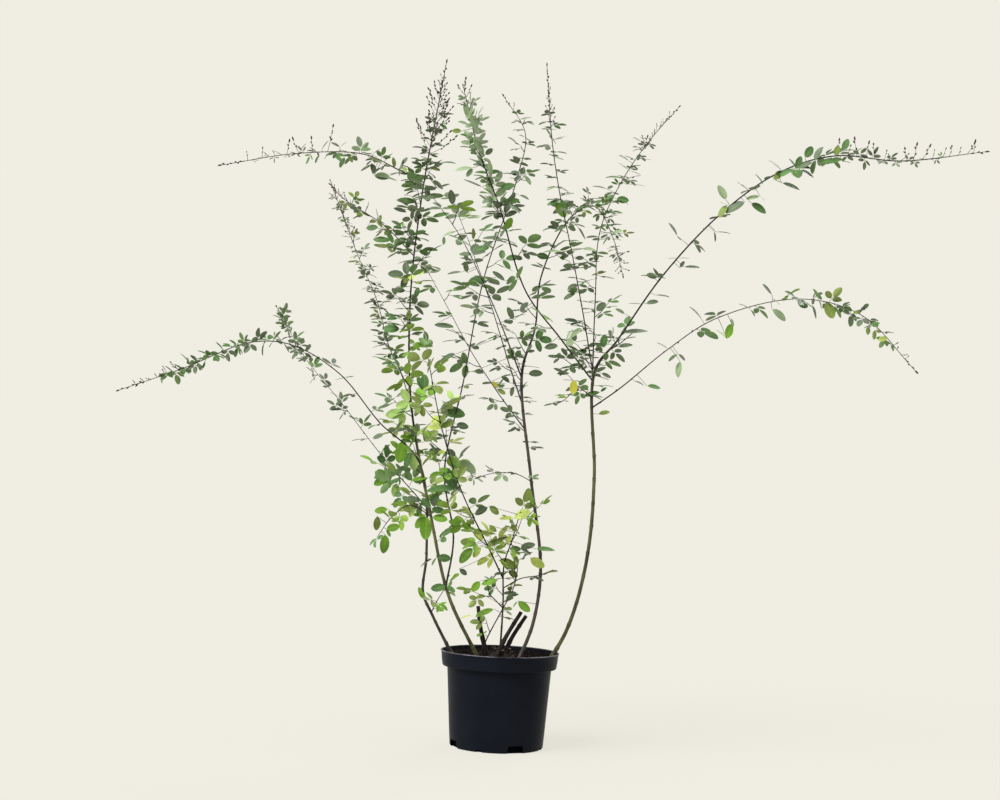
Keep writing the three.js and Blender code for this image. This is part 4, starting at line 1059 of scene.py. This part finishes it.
class Foliage:
    """Leaves, stalks, twigs and flower spikes as they grow, each kind in its own pile."""

    def __init__(self):
        self.leaves = {tint: Pile() for tint in TINTS}
        self.stalks = Pile()
        self.twigs = Pile()
        self.spikes = Pile()
        self.heads = Pile()
        self.centres = np.zeros((MOST_LEAVES, 3))
        self.reaches = np.zeros(MOST_LEAVES)
        self.count = 0
        self.shape, self.faces, self.finishes = leaflet_shape()

    def is_clear(self, centre, reach):
        gaps = np.linalg.norm(self.centres[: self.count] - centre, axis=1)
        return bool(np.all(gaps > LEAF_ROOM * (self.reaches[: self.count] + reach)))

    def claim(self, centre, reach):
        self.centres[self.count] = centre
        self.reaches[self.count] = reach
        self.count += 1

    def add_leaflet(self, base, out, normal, length, slim, fold, tint, random):
        normal = unit(normal - out * normal.dot(out))
        side = np.cross(normal, out)
        wide = length * LEAFLET_WIDTH * slim * between(random, *LEAFLET_WIDTHS) / 2
        fold = between(random, *LEAFLET_FOLDS) * fold
        droop = between(random, *LEAFLET_DROOPS)
        twist = spread(random, fold)
        u, v, under = self.shape.T
        rise = fold * np.abs(v) + twist * v * u
        lift = rise * wide - droop * length * u**2 - under * LEAF_THICKNESS
        corners = base + np.outer(u * length, out) + np.outer(v * wide, side)
        self.leaves[tint].add(corners + np.outer(lift, normal), self.faces, self.finishes)

    def add_leaf(self, root, along, angle, dress, size, random, tint=None, lean=None):
        """Tries a few turns of a leaf of three leaflets and keeps the first with room."""
        tint = tint or pick(dress["tints"], random)
        for attempt in range(LEAF_TRIES):
            slope = (lean or dress["lean"]) + spread(random, LEAN_STRAY)
            out = sideways(along, angle + spread(random, ANGLE_STRAY) + attempt * RETRY_TURN)
            direction = out * math.sin(slope) + along * math.cos(slope)
            direction = unit(direction * (1, 1, dress["level"]))
            scale = size * between(random, *LEAF_SIZES)
            joint = root + direction * (dress["stalk"] * scale)
            length = dress["leaf"] * scale
            centre = joint + direction * length * LEAF_CENTRE
            if centre[2] > LOWEST_LEAF and self.is_clear(centre, length * LEAF_REACH):
                break
        else:
            return
        self.claim(centre, length * LEAF_REACH)
        turn = wander(random, 1)
        normal = UP + turn * (TURNED_TILT if random() < dress["turned"] else dress["tilt"])
        normal = unit(normal - direction * normal.dot(direction))
        left = np.cross(normal, direction)
        end = joint + direction * END_STALK * length
        self.add_stalk(root, joint, end, normal)
        for side in (-1, 0, 1):
            turned = side * SIDE_ANGLE + spread(random, LEAN_STRAY)
            ahead = direction * math.cos(turned) + left * math.sin(turned)
            base = joint + ahead * SIDE_STALK if side else end
            long = length * (SIDE_SHARE if side else 1)
            facing = normal + wander(random, dress["loose"])
            self.add_leaflet(base, ahead, facing, long, dress["slim"], dress["fold"], tint, random)

    def add_stalk(self, root, joint, end, normal):
        bow = normal * np.linalg.norm(joint - root) * STALK_BOW
        places = [root, lerp(root, joint, 0.5) + bow, joint, end]
        add_tube(self.stalks, places, STALK_GIRTH, FINE_SIDES)

    def add_accent(self, shoot, x, y, tint, leaflets, random):
        """A leaf that stands out in the photograph, on the nearest place of its shoot."""
        root = shoot.line[np.argmin(np.linalg.norm(seen_at(shoot.line) - (x, y), axis=1))]
        joint = place_seen(x, y, root[1] - ACCENT_LEAD)
        pixel = np.linalg.norm(place_seen(x + 1, y, joint[1]) - joint)
        for i, (bearing, length, seen) in enumerate(leaflets):
            bearing = math.radians(bearing)
            ahead = RIGHT * math.cos(bearing) + ABOVE * math.sin(bearing)
            ahead = unit(ahead + AHEAD * spread(random, ACCENT_DEPTH))
            facing = unit(-AHEAD + ahead * AHEAD.dot(ahead))
            across = np.cross(ahead, facing)
            across *= 1 if across[2] > 0 else -1
            normal = facing * seen + across * math.sqrt(1 - seen**2)
            base = joint + ahead * SIDE_STALK
            reach = length * pixel - SIDE_STALK
            if not i:
                self.add_stalk(root, joint, base, facing)
            self.claim(base + ahead * reach / 2, reach / 2)
            self.add_leaflet(base, ahead, normal, reach, 1, PLAIN["fold"], tint, random)

    def add_twig(self, root, along, angle, dress, size, random):
        """A side twig that bends upward, with leaves along it and one at its tip."""
        out = sideways(along, angle)
        direction = unit(out * math.sin(TWIG_ANGLE) + along * math.cos(TWIG_ANGLE))
        length = dress["twig"] * size * between(random, *TWIG_LENGTHS)
        risen = unit(direction + UP * TWIG_RISE)
        knee = root + direction * length / 2
        outer = [knee + risen * length / 4, knee + risen * length / 2]
        places = np.array([root, lerp(root, knee, 0.5), knee, *outer])
        places[1:4] += np.array([wander(random, TWIG_WANDER) * length for _ in range(3)])
        add_tube(self.twigs, places, TWIG_GIRTH, TWIG_SIDES)
        tint = pick(dress["tints"], random)
        count = max(1, round(length / min(dress["spacing"])))
        for i in range(count):
            place, step = on_line(places, (i + FIRST_TWIG_LEAF) / (count + EXTRA_STEPS))
            this = tint if random() < TWIG_TINT else None
            self.add_leaf(place, step, angle + i * SPIRAL, dress, size * TWIG_LEAF, random, this)
        end_size = size * TWIG_END_LEAF
        self.add_leaf(places[-1], risen, angle, dress, end_size, random, tint, END_LEAN)

    def add_spike(self, root, direction, length, random):
        """A spent flower spike: a slim axis with seed heads crowded on its outer part."""
        bent = lerp(direction, unit(direction + UP * SPIKE_RISE), 0.5)
        places = [root, root + direction * length * 0.5, root + bent * length]
        add_tube(self.spikes, places, SPIKE_GIRTH, FINE_SIDES)
        self.add_heads(places, FIRST_HEAD, length, random)

    def add_heads(self, places, first, length, random):
        """Seed heads along a line from a share of it on, and one at its tip."""
        count = max(1, round(length * (1 - first) / HEAD_SPACING))
        size = max(SMALL_HEAD, min(1, length / FULL_SPIKE))
        for i in range(count + 1):
            last = i == count
            share = TIP_HEAD
            if not last:
                share = lerp(first, LAST_HEAD, (i + random() * HEAD_STRAY) / count)
            place, step = on_line(places, share)
            out = sideways(step, i * SPIRAL + random())
            heading = step if last else unit(out * HEAD_OUT + step * HEAD_AHEAD)
            self.add_head(place, heading, (END_HEAD if last else HEAD_LENGTH) * size, random)

    def add_head(self, root, direction, length, random):
        """A small seed head: a slim spindle."""
        length *= between(random, *HEAD_LENGTHS)
        girth = min(length * HEAD_SLIMNESS, HEAD_GIRTH)
        girths = (HEAD_FOOT_GIRTH, girth, girth, HEAD_TIP_GIRTH)
        places = [root + direction * length * share for share in HEAD_RINGS]
        pale = int(random() >= DARK_HEADS)
        add_tube(self.heads, places, girths, FINE_SIDES, None, (True, True), pale)


def grow_leaves(foliage, shoot, start, end, dress, random):
    """Leaves and side twigs in a spiral along a stretch of stem, and the knots where they root."""
    knots = []
    distance = start
    while distance < end:
        i = len(knots)
        share = (distance - start) / (end - start)
        size = lerp(*dress["sizes"], share)
        angle = i * SPIRAL + random()
        this = dress
        if "tip_tints" in dress and random() < share:
            this = {**dress, "tints": dress["tip_tints"]}
        twig = dress["twigs"] and i % dress["twigs"] == 1
        add = foliage.add_twig if twig else foliage.add_leaf
        add(shoot.place(distance), shoot.along(distance), angle, this, size, random)
        knots.append(distance)
        distance += lerp(*dress["spacing"], share) * between(random, *LEAF_STEPS)
    return knots


def grow_spikes(foliage, shoot, start, end, dress, random):
    distance = start
    i = 0
    while distance < end:
        share = (distance - start) / (end - start)
        along = shoot.along(distance)
        out = sideways(along, i * SPIRAL + spread(random, ANGLE_STRAY))
        stray = wander(random, SPIKE_STRAY)
        ahead, rise = dress["rise"]
        direction = unit(out * dress["splay"] + along * ahead + UP * rise + stray)
        length = lerp(*dress["spike"], share) * between(random, *SPIKE_LENGTHS)
        foliage.add_spike(shoot.place(distance), direction, length, random)
        distance += dress["spikes"] * between(random, *SPIKE_STEPS)
        i += 1


def grow_mass(foliage, shoot, start, end, dress, random):
    """A leafy mass of the part: leaves, then spent flower spikes where it has them, and stem."""
    leaf_end = lerp(start, end, dress["leafy"])
    knots = grow_leaves(foliage, shoot, start or LEAD, leaf_end, dress, random)
    if dress["leafy"] < 1:
        first = lerp(start, end, min(dress["leafy"], dress["spiked"]))
        raceme = dress["raceme"]
        grow_spikes(foliage, shoot, first, end - raceme * RACEME_BARE, dress, random)
        places = [shoot.place(end - raceme * share) for share in (1, 0.5, 0)]
        foliage.add_heads(places, 0, raceme, random)
    elif end == shoot.length:
        tip, along = shoot.place(end), shoot.along(end)
        foliage.add_leaf(tip, along, 0, dress, 1, random, lean=END_LEAN)
    add_stem(foliage.twigs, shoot, start, end, STEM_SIDES, STEM_STEP, knots, random)


def full_dress(name):
    return {**PLAIN, **DRESSES[name]}


def grow_plant():
    """All the foliage and wood, in piles by kind."""
    foliage = Foliage()
    canes, boughs = Pile(), Pile()
    shoots = {}
    for name, plan in {**SHOOTS, **THIN_SHOOTS}.items():
        shoots[name] = Shoot(plan, shoots)
    random = seeded(ACCENT_SEED)
    for name, leaves in ACCENTS.items():
        for x, y, tint, *leaflets in leaves:
            foliage.add_accent(shoots[name], x, y, tint, leaflets, random)
    mass = 0
    for name, plan in SHOOTS.items():
        shoot = shoots[name]
        start = 0
        for node, share in plan.get("limbs", ()):
            end = share * shoot.length
            pile = canes if node.endswith("cane") else boughs
            random = seeded(LIMB_SEED + len(node))
            add_limb(pile, shoot, start, end, random, int(node in OLIVE_CANES))
            start = end
        for share, dress in plan["masses"]:
            end = share * shoot.length
            mass += 1
            grow_mass(foliage, shoot, start, end, full_dress(dress), seeded(mass))
            start = end
    for name, plan in THIN_SHOOTS.items():
        mass += 1
        random = seeded(mass)
        shoot, dress = shoots[name], full_dress(plan["dress"])
        knots = grow_leaves(foliage, shoot, LEAD, shoot.length, dress, random)
        add_stem(foliage.twigs, shoot, 0, shoot.length, STEM_SIDES, STEM_STEP, knots, random)
    for i, (name, first, last, dress) in enumerate(STRAYS):
        shoot, random = shoots[name], seeded(STRAY_SEED + i)
        first, last = first * shoot.length, last * shoot.length
        grow_leaves(foliage, shoot, first, last, full_dress(dress), random)
    return foliage, canes, boughs


def turned_pile(profile, segments):
    """A turned shape from radius and height pairs that start and end on the axis."""
    pile = Pile()
    rings = profile[1:-1]
    corners = [(r * math.cos(a), r * math.sin(a), z) for r, z in rings for a in circle(segments)]
    foot, top = len(corners), len(corners) + 1
    corners.extend([(0, 0, profile[0][1]), (0, 0, profile[-1][1])])
    faces = tube_faces(len(rings), segments, False, False)
    last = foot - segments
    for k in range(segments):
        following = (k + 1) % segments
        faces.append((foot, following, k))
        faces.append((top, last + k, last + following))
    pile.add(corners, faces)
    return pile


def wall_radius(height):
    return lerp(FOOT_RADIUS, WALL_TOP_RADIUS, height / BAND_FOOT)


def rounded(centre, radius, first, last, count):
    """Places on an arc from one bearing to another, in degrees, as radius and height pairs."""
    angles = [math.radians(lerp(first, last, i / (count - 1))) for i in range(count)]
    return [(centre[0] + radius * math.cos(a), centre[1] + radius * math.sin(a)) for a in angles]


def pot_profile():
    half_lip = LIP / 2
    lip_centre = (RIM_RADIUS - half_lip, POT_HEIGHT - half_lip - LIP_DROP)
    return [
        (0, 0),
        (CENTRE_RADIUS, 0),
        (CENTRE_RADIUS + CENTRE_SLOPE, FLOOR_RISE),
        (RING_RADIUS, FLOOR_RISE),
        (RING_RADIUS, 0),
        *rounded((FOOT_RADIUS - FOOT_BEVEL, FOOT_BEVEL), FOOT_BEVEL, -90, -4, 6),
        *[(wall_radius(BAND_FOOT * share), BAND_FOOT * share) for share in WALL_RINGS],
        *rounded((WALL_TOP_RADIUS + WALL_BEVEL, BAND_FOOT - WALL_BEVEL), WALL_BEVEL, 180, 90, 4),
        *rounded((BAND_FOOT_RADIUS - BAND_BEVEL, BAND_FOOT + BAND_BEVEL), BAND_BEVEL, -90, 0, 5),
        (BAND_FOOT_RADIUS + BAND_SWELL, BAND_FOOT + BAND_SWELL_HEIGHT),
        (RIM_RADIUS - LIP_NECK, POT_HEIGHT - LIP_NECK_HEIGHT),
        *rounded(lip_centre, half_lip, -60, 180, 11),
        (BAND_INNER, BAND_FOOT + WALL + BAND_BEVEL),
        (WALL_TOP_RADIUS - WALL, BAND_FOOT + WALL),
        (wall_radius(FOOT_TOP) - WALL, FOOT_TOP),
        (RING_RADIUS, FLOOR_TOP),
        (CENTRE_RADIUS, FLOOR_TOP),
        (CENTRE_RADIUS - CENTRE_SLOPE, FLOOR_THICKNESS),
        (0, FLOOR_THICKNESS),
    ]


def notches_pile():
    """Wedges that cut the notches in the pot's foot."""
    pile = Pile()
    faces = [(0, 1, 2, 3), (7, 6, 5, 4)]
    faces += [(k, k + 4, (k + 1) % 4 + 4, (k + 1) % 4) for k in range(4)]
    near, far = -FOOT_RADIUS - 2 * NOTCH_DEPTH, -FOOT_RADIUS + NOTCH_DEPTH
    for i, bearing in enumerate(FIRST_NOTCH + circle(NOTCH_COUNT)):
        width, height = NOTCHES[i % len(NOTCHES)]
        half, upper_half = width / 2, width / 2 - height * NOTCH_SLOPE
        outline = [(-half, -NOTCH_MARGIN), (half, -NOTCH_MARGIN)]
        outline += [(upper_half, height), (-upper_half, height)]
        corners = [(x, y, z) for y in (near, far) for x, z in outline]
        turn = np.array(Matrix.Rotation(bearing, 3, "Z"))
        pile.add(np.array(corners) @ turn.T, faces)
    return pile


def pot_object():
    """The pot with its notches cut. Its finishes: the wall, the top of the lip with a painted
    highlight, the notches with painted shade.
    """
    mesh = turned_pile(pot_profile(), POT_SEGMENTS).mesh("pot_body")
    # Faces at the top of the lip take the lighter finish: a painted highlight.
    for face in mesh.polygons:
        face.material_index = int(face.center.z > (POT_HEIGHT - LIP_HIGHLIGHT_DEPTH) * MM)
    pot = add_object("nursery_pot", mesh)
    cutter = add_object("notches", notches_pile().mesh("notches"))
    cut = pot.modifiers.new("notches", "BOOLEAN")
    cut.operation = "DIFFERENCE"
    cut.object = cutter
    cut_pot = pot.evaluated_get(bpy.context.evaluated_depsgraph_get())
    shaped = bpy.data.meshes.new_from_object(cut_pot)
    pot.modifiers.clear()
    pot.data = shaped
    bpy.data.objects.remove(cutter)
    # Faces inside the notches take the near-black finish: painted shade in the recesses.
    for face in shaped.polygons:
        x, y, z = face.center / MM
        low = z < NOTCHES[0][1] + NOTCH_MARGIN
        if low and RING_RADIUS < math.hypot(x, y) < FOOT_RADIUS - NOTCH_MARGIN:
            face.material_index = 2
    shaped.shade_smooth()
    shaped.set_sharp_from_angle(angle=POT_EDGE)
    return pot


def pips_pile():
    """Small round moulding pips on the pot's wall."""
    pile = Pile()
    for bearing in FIRST_PIP + circle(PIP_COUNT):
        out = np.array([math.sin(bearing), -math.cos(bearing), 0])
        side = np.cross(out, UP)
        centre = out * wall_radius(PIP_HEIGHT) + UP * PIP_HEIGHT
        corners = []
        for lift, reach in PIP_RINGS:
            for a in circle(PIP_SIDES):
                ray = side * math.cos(a) + UP * math.sin(a)
                corners.append(centre + out * lift + ray * PIP_RADIUS * reach)
        pile.add(corners, tube_faces(len(PIP_RINGS), PIP_SIDES, False, True))
    return pile


def soil_height(x, y):
    """The lumpy top of the soil, a little lower at the wall."""
    spot = (x / SOIL_LUMP, y / SOIL_LUMP, SOIL_NOISE_PLACE)
    lumps = noise.fractal(spot, *SOIL_NOISE) * SOIL_RELIEF
    edge = max(0, math.hypot(x, y) - SOIL_EDGE) * SOIL_EDGE_SLOPE
    return SOIL_TOP + SOIL_RISE + lumps - edge


def soil_pile(random):
    """Soil with crumbs and bark chips on it."""
    pile = Pile()
    rings, segments = SOIL_RINGS, SOIL_SEGMENTS
    corners = [(0, 0, soil_height(0, 0))]
    for i in range(rings):
        radius = SOIL_RADIUS * (i + 1) / rings
        for a in circle(segments):
            x, y = radius * math.cos(a), radius * math.sin(a)
            corners.append((x, y, soil_height(x, y)))
    faces = [(0, 1 + k, 1 + (k + 1) % segments) for k in range(segments)]
    faces += [tuple(i + 1 for i in face) for face in tube_faces(rings, segments, False, False)]
    pile.add(corners, faces)
    for i in range(CRUMB_COUNT):
        reach = SOIL_RADIUS * CRUMB_REACH * math.sqrt(random())
        a = random() * TURN
        x, y = reach * math.cos(a), reach * math.sin(a)
        is_chip = random() < CHIP_SHARE
        sizes = [between(random, *CRUMB_SIZES) for _ in range(3)]
        if is_chip:
            sizes = [between(random, *span) for span in CHIP_SIZES]
        shade = 1 + int(random() * CHIP_SHADES * math.exp(-((reach / CHIP_REACH) ** 2)))
        place = (x, y, soil_height(x, y) + min(sizes) * CRUMB_RISE)
        add_lump(pile, place, sizes, random, shade)
    return pile


def add_lump(pile, place, sizes, random, finish):
    """An irregular lump: a ball of a few faces with its corners pushed in and out, then turned."""
    corners, faces = LUMP
    turn = Matrix.Rotation(random() * LUMP_TURN, 3, "Z")
    turn = turn @ Matrix.Rotation(spread(random, LUMP_TILT), 3, "X")
    pushed = [np.array(c) * between(random, *LUMP_PUSH) * sizes for c in corners]
    pile.add(np.array(pushed) @ np.array(turn).T + place, faces, finish)


def lump_shape():
    """An eight-faced ball, each face split into four."""
    corners = [(1, 0, 0), (0, 1, 0), (-1, 0, 0), (0, -1, 0), (0, 0, 1), (0, 0, -1)]
    faces, middles = [], {}

    def middle(a, b):
        key = (min(a, b), max(a, b))
        if key not in middles:
            corners.append(tuple(unit(np.add(corners[a], corners[b]).astype(float))))
            middles[key] = len(corners) - 1
        return middles[key]

    for k in range(4):
        following = (k + 1) % 4
        for a, b, c in ((k, following, 4), (following, k, 5)):
            ab, bc, ca = middle(a, b), middle(b, c), middle(c, a)
            faces.extend([(a, ab, ca), (ab, b, bc), (ca, bc, c), (ab, bc, ca)])
    return corners, faces


def crown_pile(random):
    """The woody crown: a knobbly dome with short cut stumps of older stems."""
    pile = Pile()
    centre = (CROWN["x"], CROWN["y"], SOIL_TOP - CROWN_SINK)
    spans = (CROWN["radius"], CROWN["radius"], CROWN["height"])
    corners = []
    for i in range(CROWN_RINGS):
        rise = i / (CROWN_RINGS - CROWN_TOP) * math.pi / 2
        for a in circle(CROWN_SEGMENTS):
            ray = (math.cos(a) * math.cos(rise), math.sin(a) * math.cos(rise), math.sin(rise))
            spot = [x * KNOB_SCALE for x in ray]
            spot[2] += CROWN_NOISE_PLACE
            knob = KNOB_SHARES[0] + KNOB_SHARES[1] * noise.fractal(spot, *CROWN_NOISE)
            corners.append([c + x * span * knob for c, x, span in zip(centre, ray, spans)])
    pile.add(corners, tube_faces(CROWN_RINGS, CROWN_SEGMENTS, False, True))
    for a in circle(STUMP_COUNT):
        a += random()
        out = np.array([math.cos(a), math.sin(a), 0])
        reach = CROWN["radius"] * between(random, *STUMP_REACHES)
        foot = np.array([CROWN["x"], CROWN["y"], SOIL_TOP + STUMP_FOOT]) + out * reach
        rise = between(random, *STUMP_HEIGHTS)
        radius = between(random, *STUMP_RADII)
        add_stump(pile, foot, (out * STUMP_LEAN + UP) * rise, radius, random)
    return pile


def add_stump(pile, foot, reach, radius, random):
    """A short stump with a paler cut end."""
    places = [foot + reach * share for share in STUMP_RINGS]
    distances = np.linspace(0, STUMP_BARK, len(places))
    relief = bark_relief(distances, CUT_SIDES, [], random)
    radii = [radius * girth for girth in STUMP_GIRTH]
    add_tube(pile, places, radii, CUT_SIDES, relief, (False, False))
    add_cut(pile, places, radii[-1])


def add_cut(pile, line, radius):
    """The cut end of a stem: a disc with a slightly raised rim of bark."""
    place, along = line[-1], unit(line[-1] - line[-2])
    places = [place + along * step for step in CUT_STEPS]
    add_tube(pile, places, [radius, radius, radius * CUT_RIM], CUT_SIDES, None, (False, True), 1)


def stubs_pile(random):
    pile = Pile()
    shares = np.linspace(0, 1, STUB_STEPS)
    for places in STUBS:
        places = np.array(places, float)
        line = catmull_rom(places, shares)
        radii = np.interp(shares, [0, 0.5, 1], STUB_RADII)
        reach = shares * np.linalg.norm(places[-1] - places[0])
        relief = bark_relief(reach, STUB_SIDES, [reach[knot] for knot in STUB_KNOTS], random)
        add_tube(pile, line, radii, STUB_SIDES, relief, (False, False))
        add_cut(pile, line, radii[-1])
    return pile


def surface(name, low, high, scale, roughness, specular, grain=0, grain_scale=0, stretch=1):
    """A finish whose colour wanders between two tones, with a fine grain in its relief."""
    finish = bpy.data.materials.new(name)
    finish.use_nodes = True
    nodes, links = finish.node_tree.nodes, finish.node_tree.links
    shader = nodes["Principled BSDF"]
    shader.inputs["Roughness"].default_value = roughness
    shader.inputs["Specular IOR Level"].default_value = specular
    place = nodes.new("ShaderNodeTexCoord")
    mapping = nodes.new("ShaderNodeMapping")
    mapping.inputs["Scale"].default_value = (1, 1, stretch)
    links.new(place.outputs["Object"], mapping.inputs["Vector"])

    def noise_node(noise_scale, detail):
        node = nodes.new("ShaderNodeTexNoise")
        node.inputs["Scale"].default_value = noise_scale
        node.inputs["Detail"].default_value = detail
        links.new(mapping.outputs["Vector"], node.inputs["Vector"])
        return node

    ramp = nodes.new("ShaderNodeValToRGB")
    for element, position, colour in zip(ramp.color_ramp.elements, RAMP, (low, high)):
        element.position = position
        element.color = (*colour, 1)
    links.new(noise_node(scale, TONE_DETAIL).outputs["Fac"], ramp.inputs["Fac"])
    links.new(ramp.outputs["Color"], shader.inputs["Base Color"])
    if grain:
        bump = nodes.new("ShaderNodeBump")
        bump.inputs["Strength"].default_value = GRAIN_STRENGTH
        bump.inputs["Distance"].default_value = grain * MM
        links.new(noise_node(grain_scale, GRAIN_DETAIL).outputs["Fac"], bump.inputs["Height"])
        links.new(bump.outputs["Normal"], shader.inputs["Normal"])
    return finish


def leaf_surface(name, colour, roughness, specular):
    low = [c * (1 - LEAF_TONES) for c in colour]
    high = [min(1, c * (1 + LEAF_TONES)) for c in colour]
    return surface(name, low, high, LEAF_SCALE, roughness, specular, LEAF_GRAIN, LEAF_GRAIN_SCALE)


def add_object(name, data):
    """A new object in the scene."""
    made = bpy.data.objects.new(name, data)
    bpy.context.collection.objects.link(made)
    return made


def place_piece(piece, finishes, nodes=()):
    for name in finishes:
        piece.data.materials.append(SURFACES[name])
    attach(piece, "root")
    if nodes:
        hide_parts(*nodes)


def add_piece(pile, name, finishes, nodes=()):
    place_piece(add_object(name, pile.mesh(name)), finishes, nodes)


def pose(place, right, above, ahead):
    """The matrix that puts a lamp or camera at a place, with its own directions."""
    return Matrix([*zip(right, above, -ahead, place), (0, 0, 0, 1)])


def set_stage():
    """A wide pale floor, level soft light from all round and two soft lamps."""
    lit = sum(power * place[2] / math.hypot(*place) / math.pi for place, power, _ in LAMPS.values())
    floor_colour = [c * (1 - FLOOR_GLOW) / (c + lit) for c in BACKDROP]
    mesh = bpy.data.meshes.new("floor")
    corners = [(x * FLOOR_REACH, y * FLOOR_REACH, 0) for x, y in ((-1, -1), (1, -1), (1, 1), (-1, 1))]
    mesh.from_pydata(corners, [], [(0, 1, 2, 3)])
    floor = add_object("floor", mesh)
    finish = surface("floor", floor_colour, floor_colour, 1, 1, 0)
    shader = finish.node_tree.nodes["Principled BSDF"]
    shader.inputs["Emission Color"].default_value = (*BACKDROP, 1)
    shader.inputs["Emission Strength"].default_value = FLOOR_GLOW
    mesh.materials.append(finish)

    world = bpy.data.worlds.new("studio")
    world.use_nodes = True
    world.node_tree.nodes["Background"].inputs["Color"].default_value = (*BACKDROP, 1)
    bpy.context.scene.world = world

    for name, (place, strength, angle) in LAMPS.items():
        lamp = bpy.data.lights.new(name, "SUN")
        lamp.energy = strength
        lamp.angle = angle
        ahead = unit(-np.array(place))
        right = unit(np.cross(ahead, UP))
        sun = add_object(name, lamp)
        sun.matrix_world = pose(place, right, np.cross(right, ahead), ahead)


def set_camera():
    lens = bpy.data.cameras.new("camera")
    lens.sensor_width = SENSOR_WIDTH
    lens.lens = FOCAL_PIXELS * SENSOR_WIDTH / IMAGE_WIDTH
    lens.clip_end = FARTHEST
    camera = add_object("camera", lens)
    camera.matrix_world = pose(np.multiply(CAMERA_PLACE, MM), RIGHT, ABOVE, AHEAD)
    bpy.context.scene.camera = camera


LUMP = lump_shape()
AHEAD, RIGHT, ABOVE = camera_axes()
SURFACES = {name: surface(name, *values) for name, values in FINISHES.items()}
for tint, colours in TINTS.items():
    for name, colour, gloss in zip((f"{tint}_leaf", f"{tint}_leaf_under"), colours, LEAF_GLOSS):
        SURFACES[name] = leaf_surface(name, colour, *gloss)
pot_shader = SURFACES["pot_plastic"].node_tree.nodes["Principled BSDF"]
pot_shader.inputs["IOR"].default_value = POT_IOR

nodes = list(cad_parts)
cane_nodes = [node for node in nodes if node.endswith("cane")]
bough_nodes = [node for node in nodes if node.endswith("bough")]
stub_nodes = [node for node in nodes if node.startswith("stub")]
others = (*cane_nodes, *bough_nodes, *stub_nodes, "pot", "soil", "root_crown")
mass_nodes = [node for node in nodes if node not in others]

plant, canes, boughs = grow_plant()
add_piece(canes, "canes", ["cane_bark", "olive_bark"], cane_nodes)
add_piece(boughs, "boughs", ["bough_bark"], bough_nodes)
add_piece(plant.twigs, "twigs", ["twig_bark"], mass_nodes)
add_piece(plant.stalks, "leaf_stalks", ["leaf_stalk"])
add_piece(plant.spikes, "flower_spikes", ["spike_axis"])
add_piece(plant.heads, "seed_heads", ["seed_head", "dry_seed_head"])
for tint, pile in plant.leaves.items():
    add_piece(pile, f"{tint}_leaves", [f"{tint}_leaf", f"{tint}_leaf_under"])
place_piece(pot_object(), ["pot_plastic", "pot_lip_painted_highlight", "pot_notch_painted_shade"], ["pot"])
add_piece(pips_pile(), "pot_pips", ["pot_plastic"])
soil_finishes = ["compost", "chip_dark", "chip_brown", "chip_pale"]
add_piece(soil_pile(seeded(SOIL_SEED)), "compost", soil_finishes, ["soil"])
crown_finishes = ["old_wood", "cut_wood"]
add_piece(crown_pile(seeded(CROWN_SEED)), "woody_crown", crown_finishes, ["root_crown"])
add_piece(stubs_pile(seeded(STUB_SEED)), "cut_stubs", ["old_wood"] * 2, stub_nodes)

set_stage()
set_camera()
bpy.context.scene.view_settings.view_transform = "Standard"
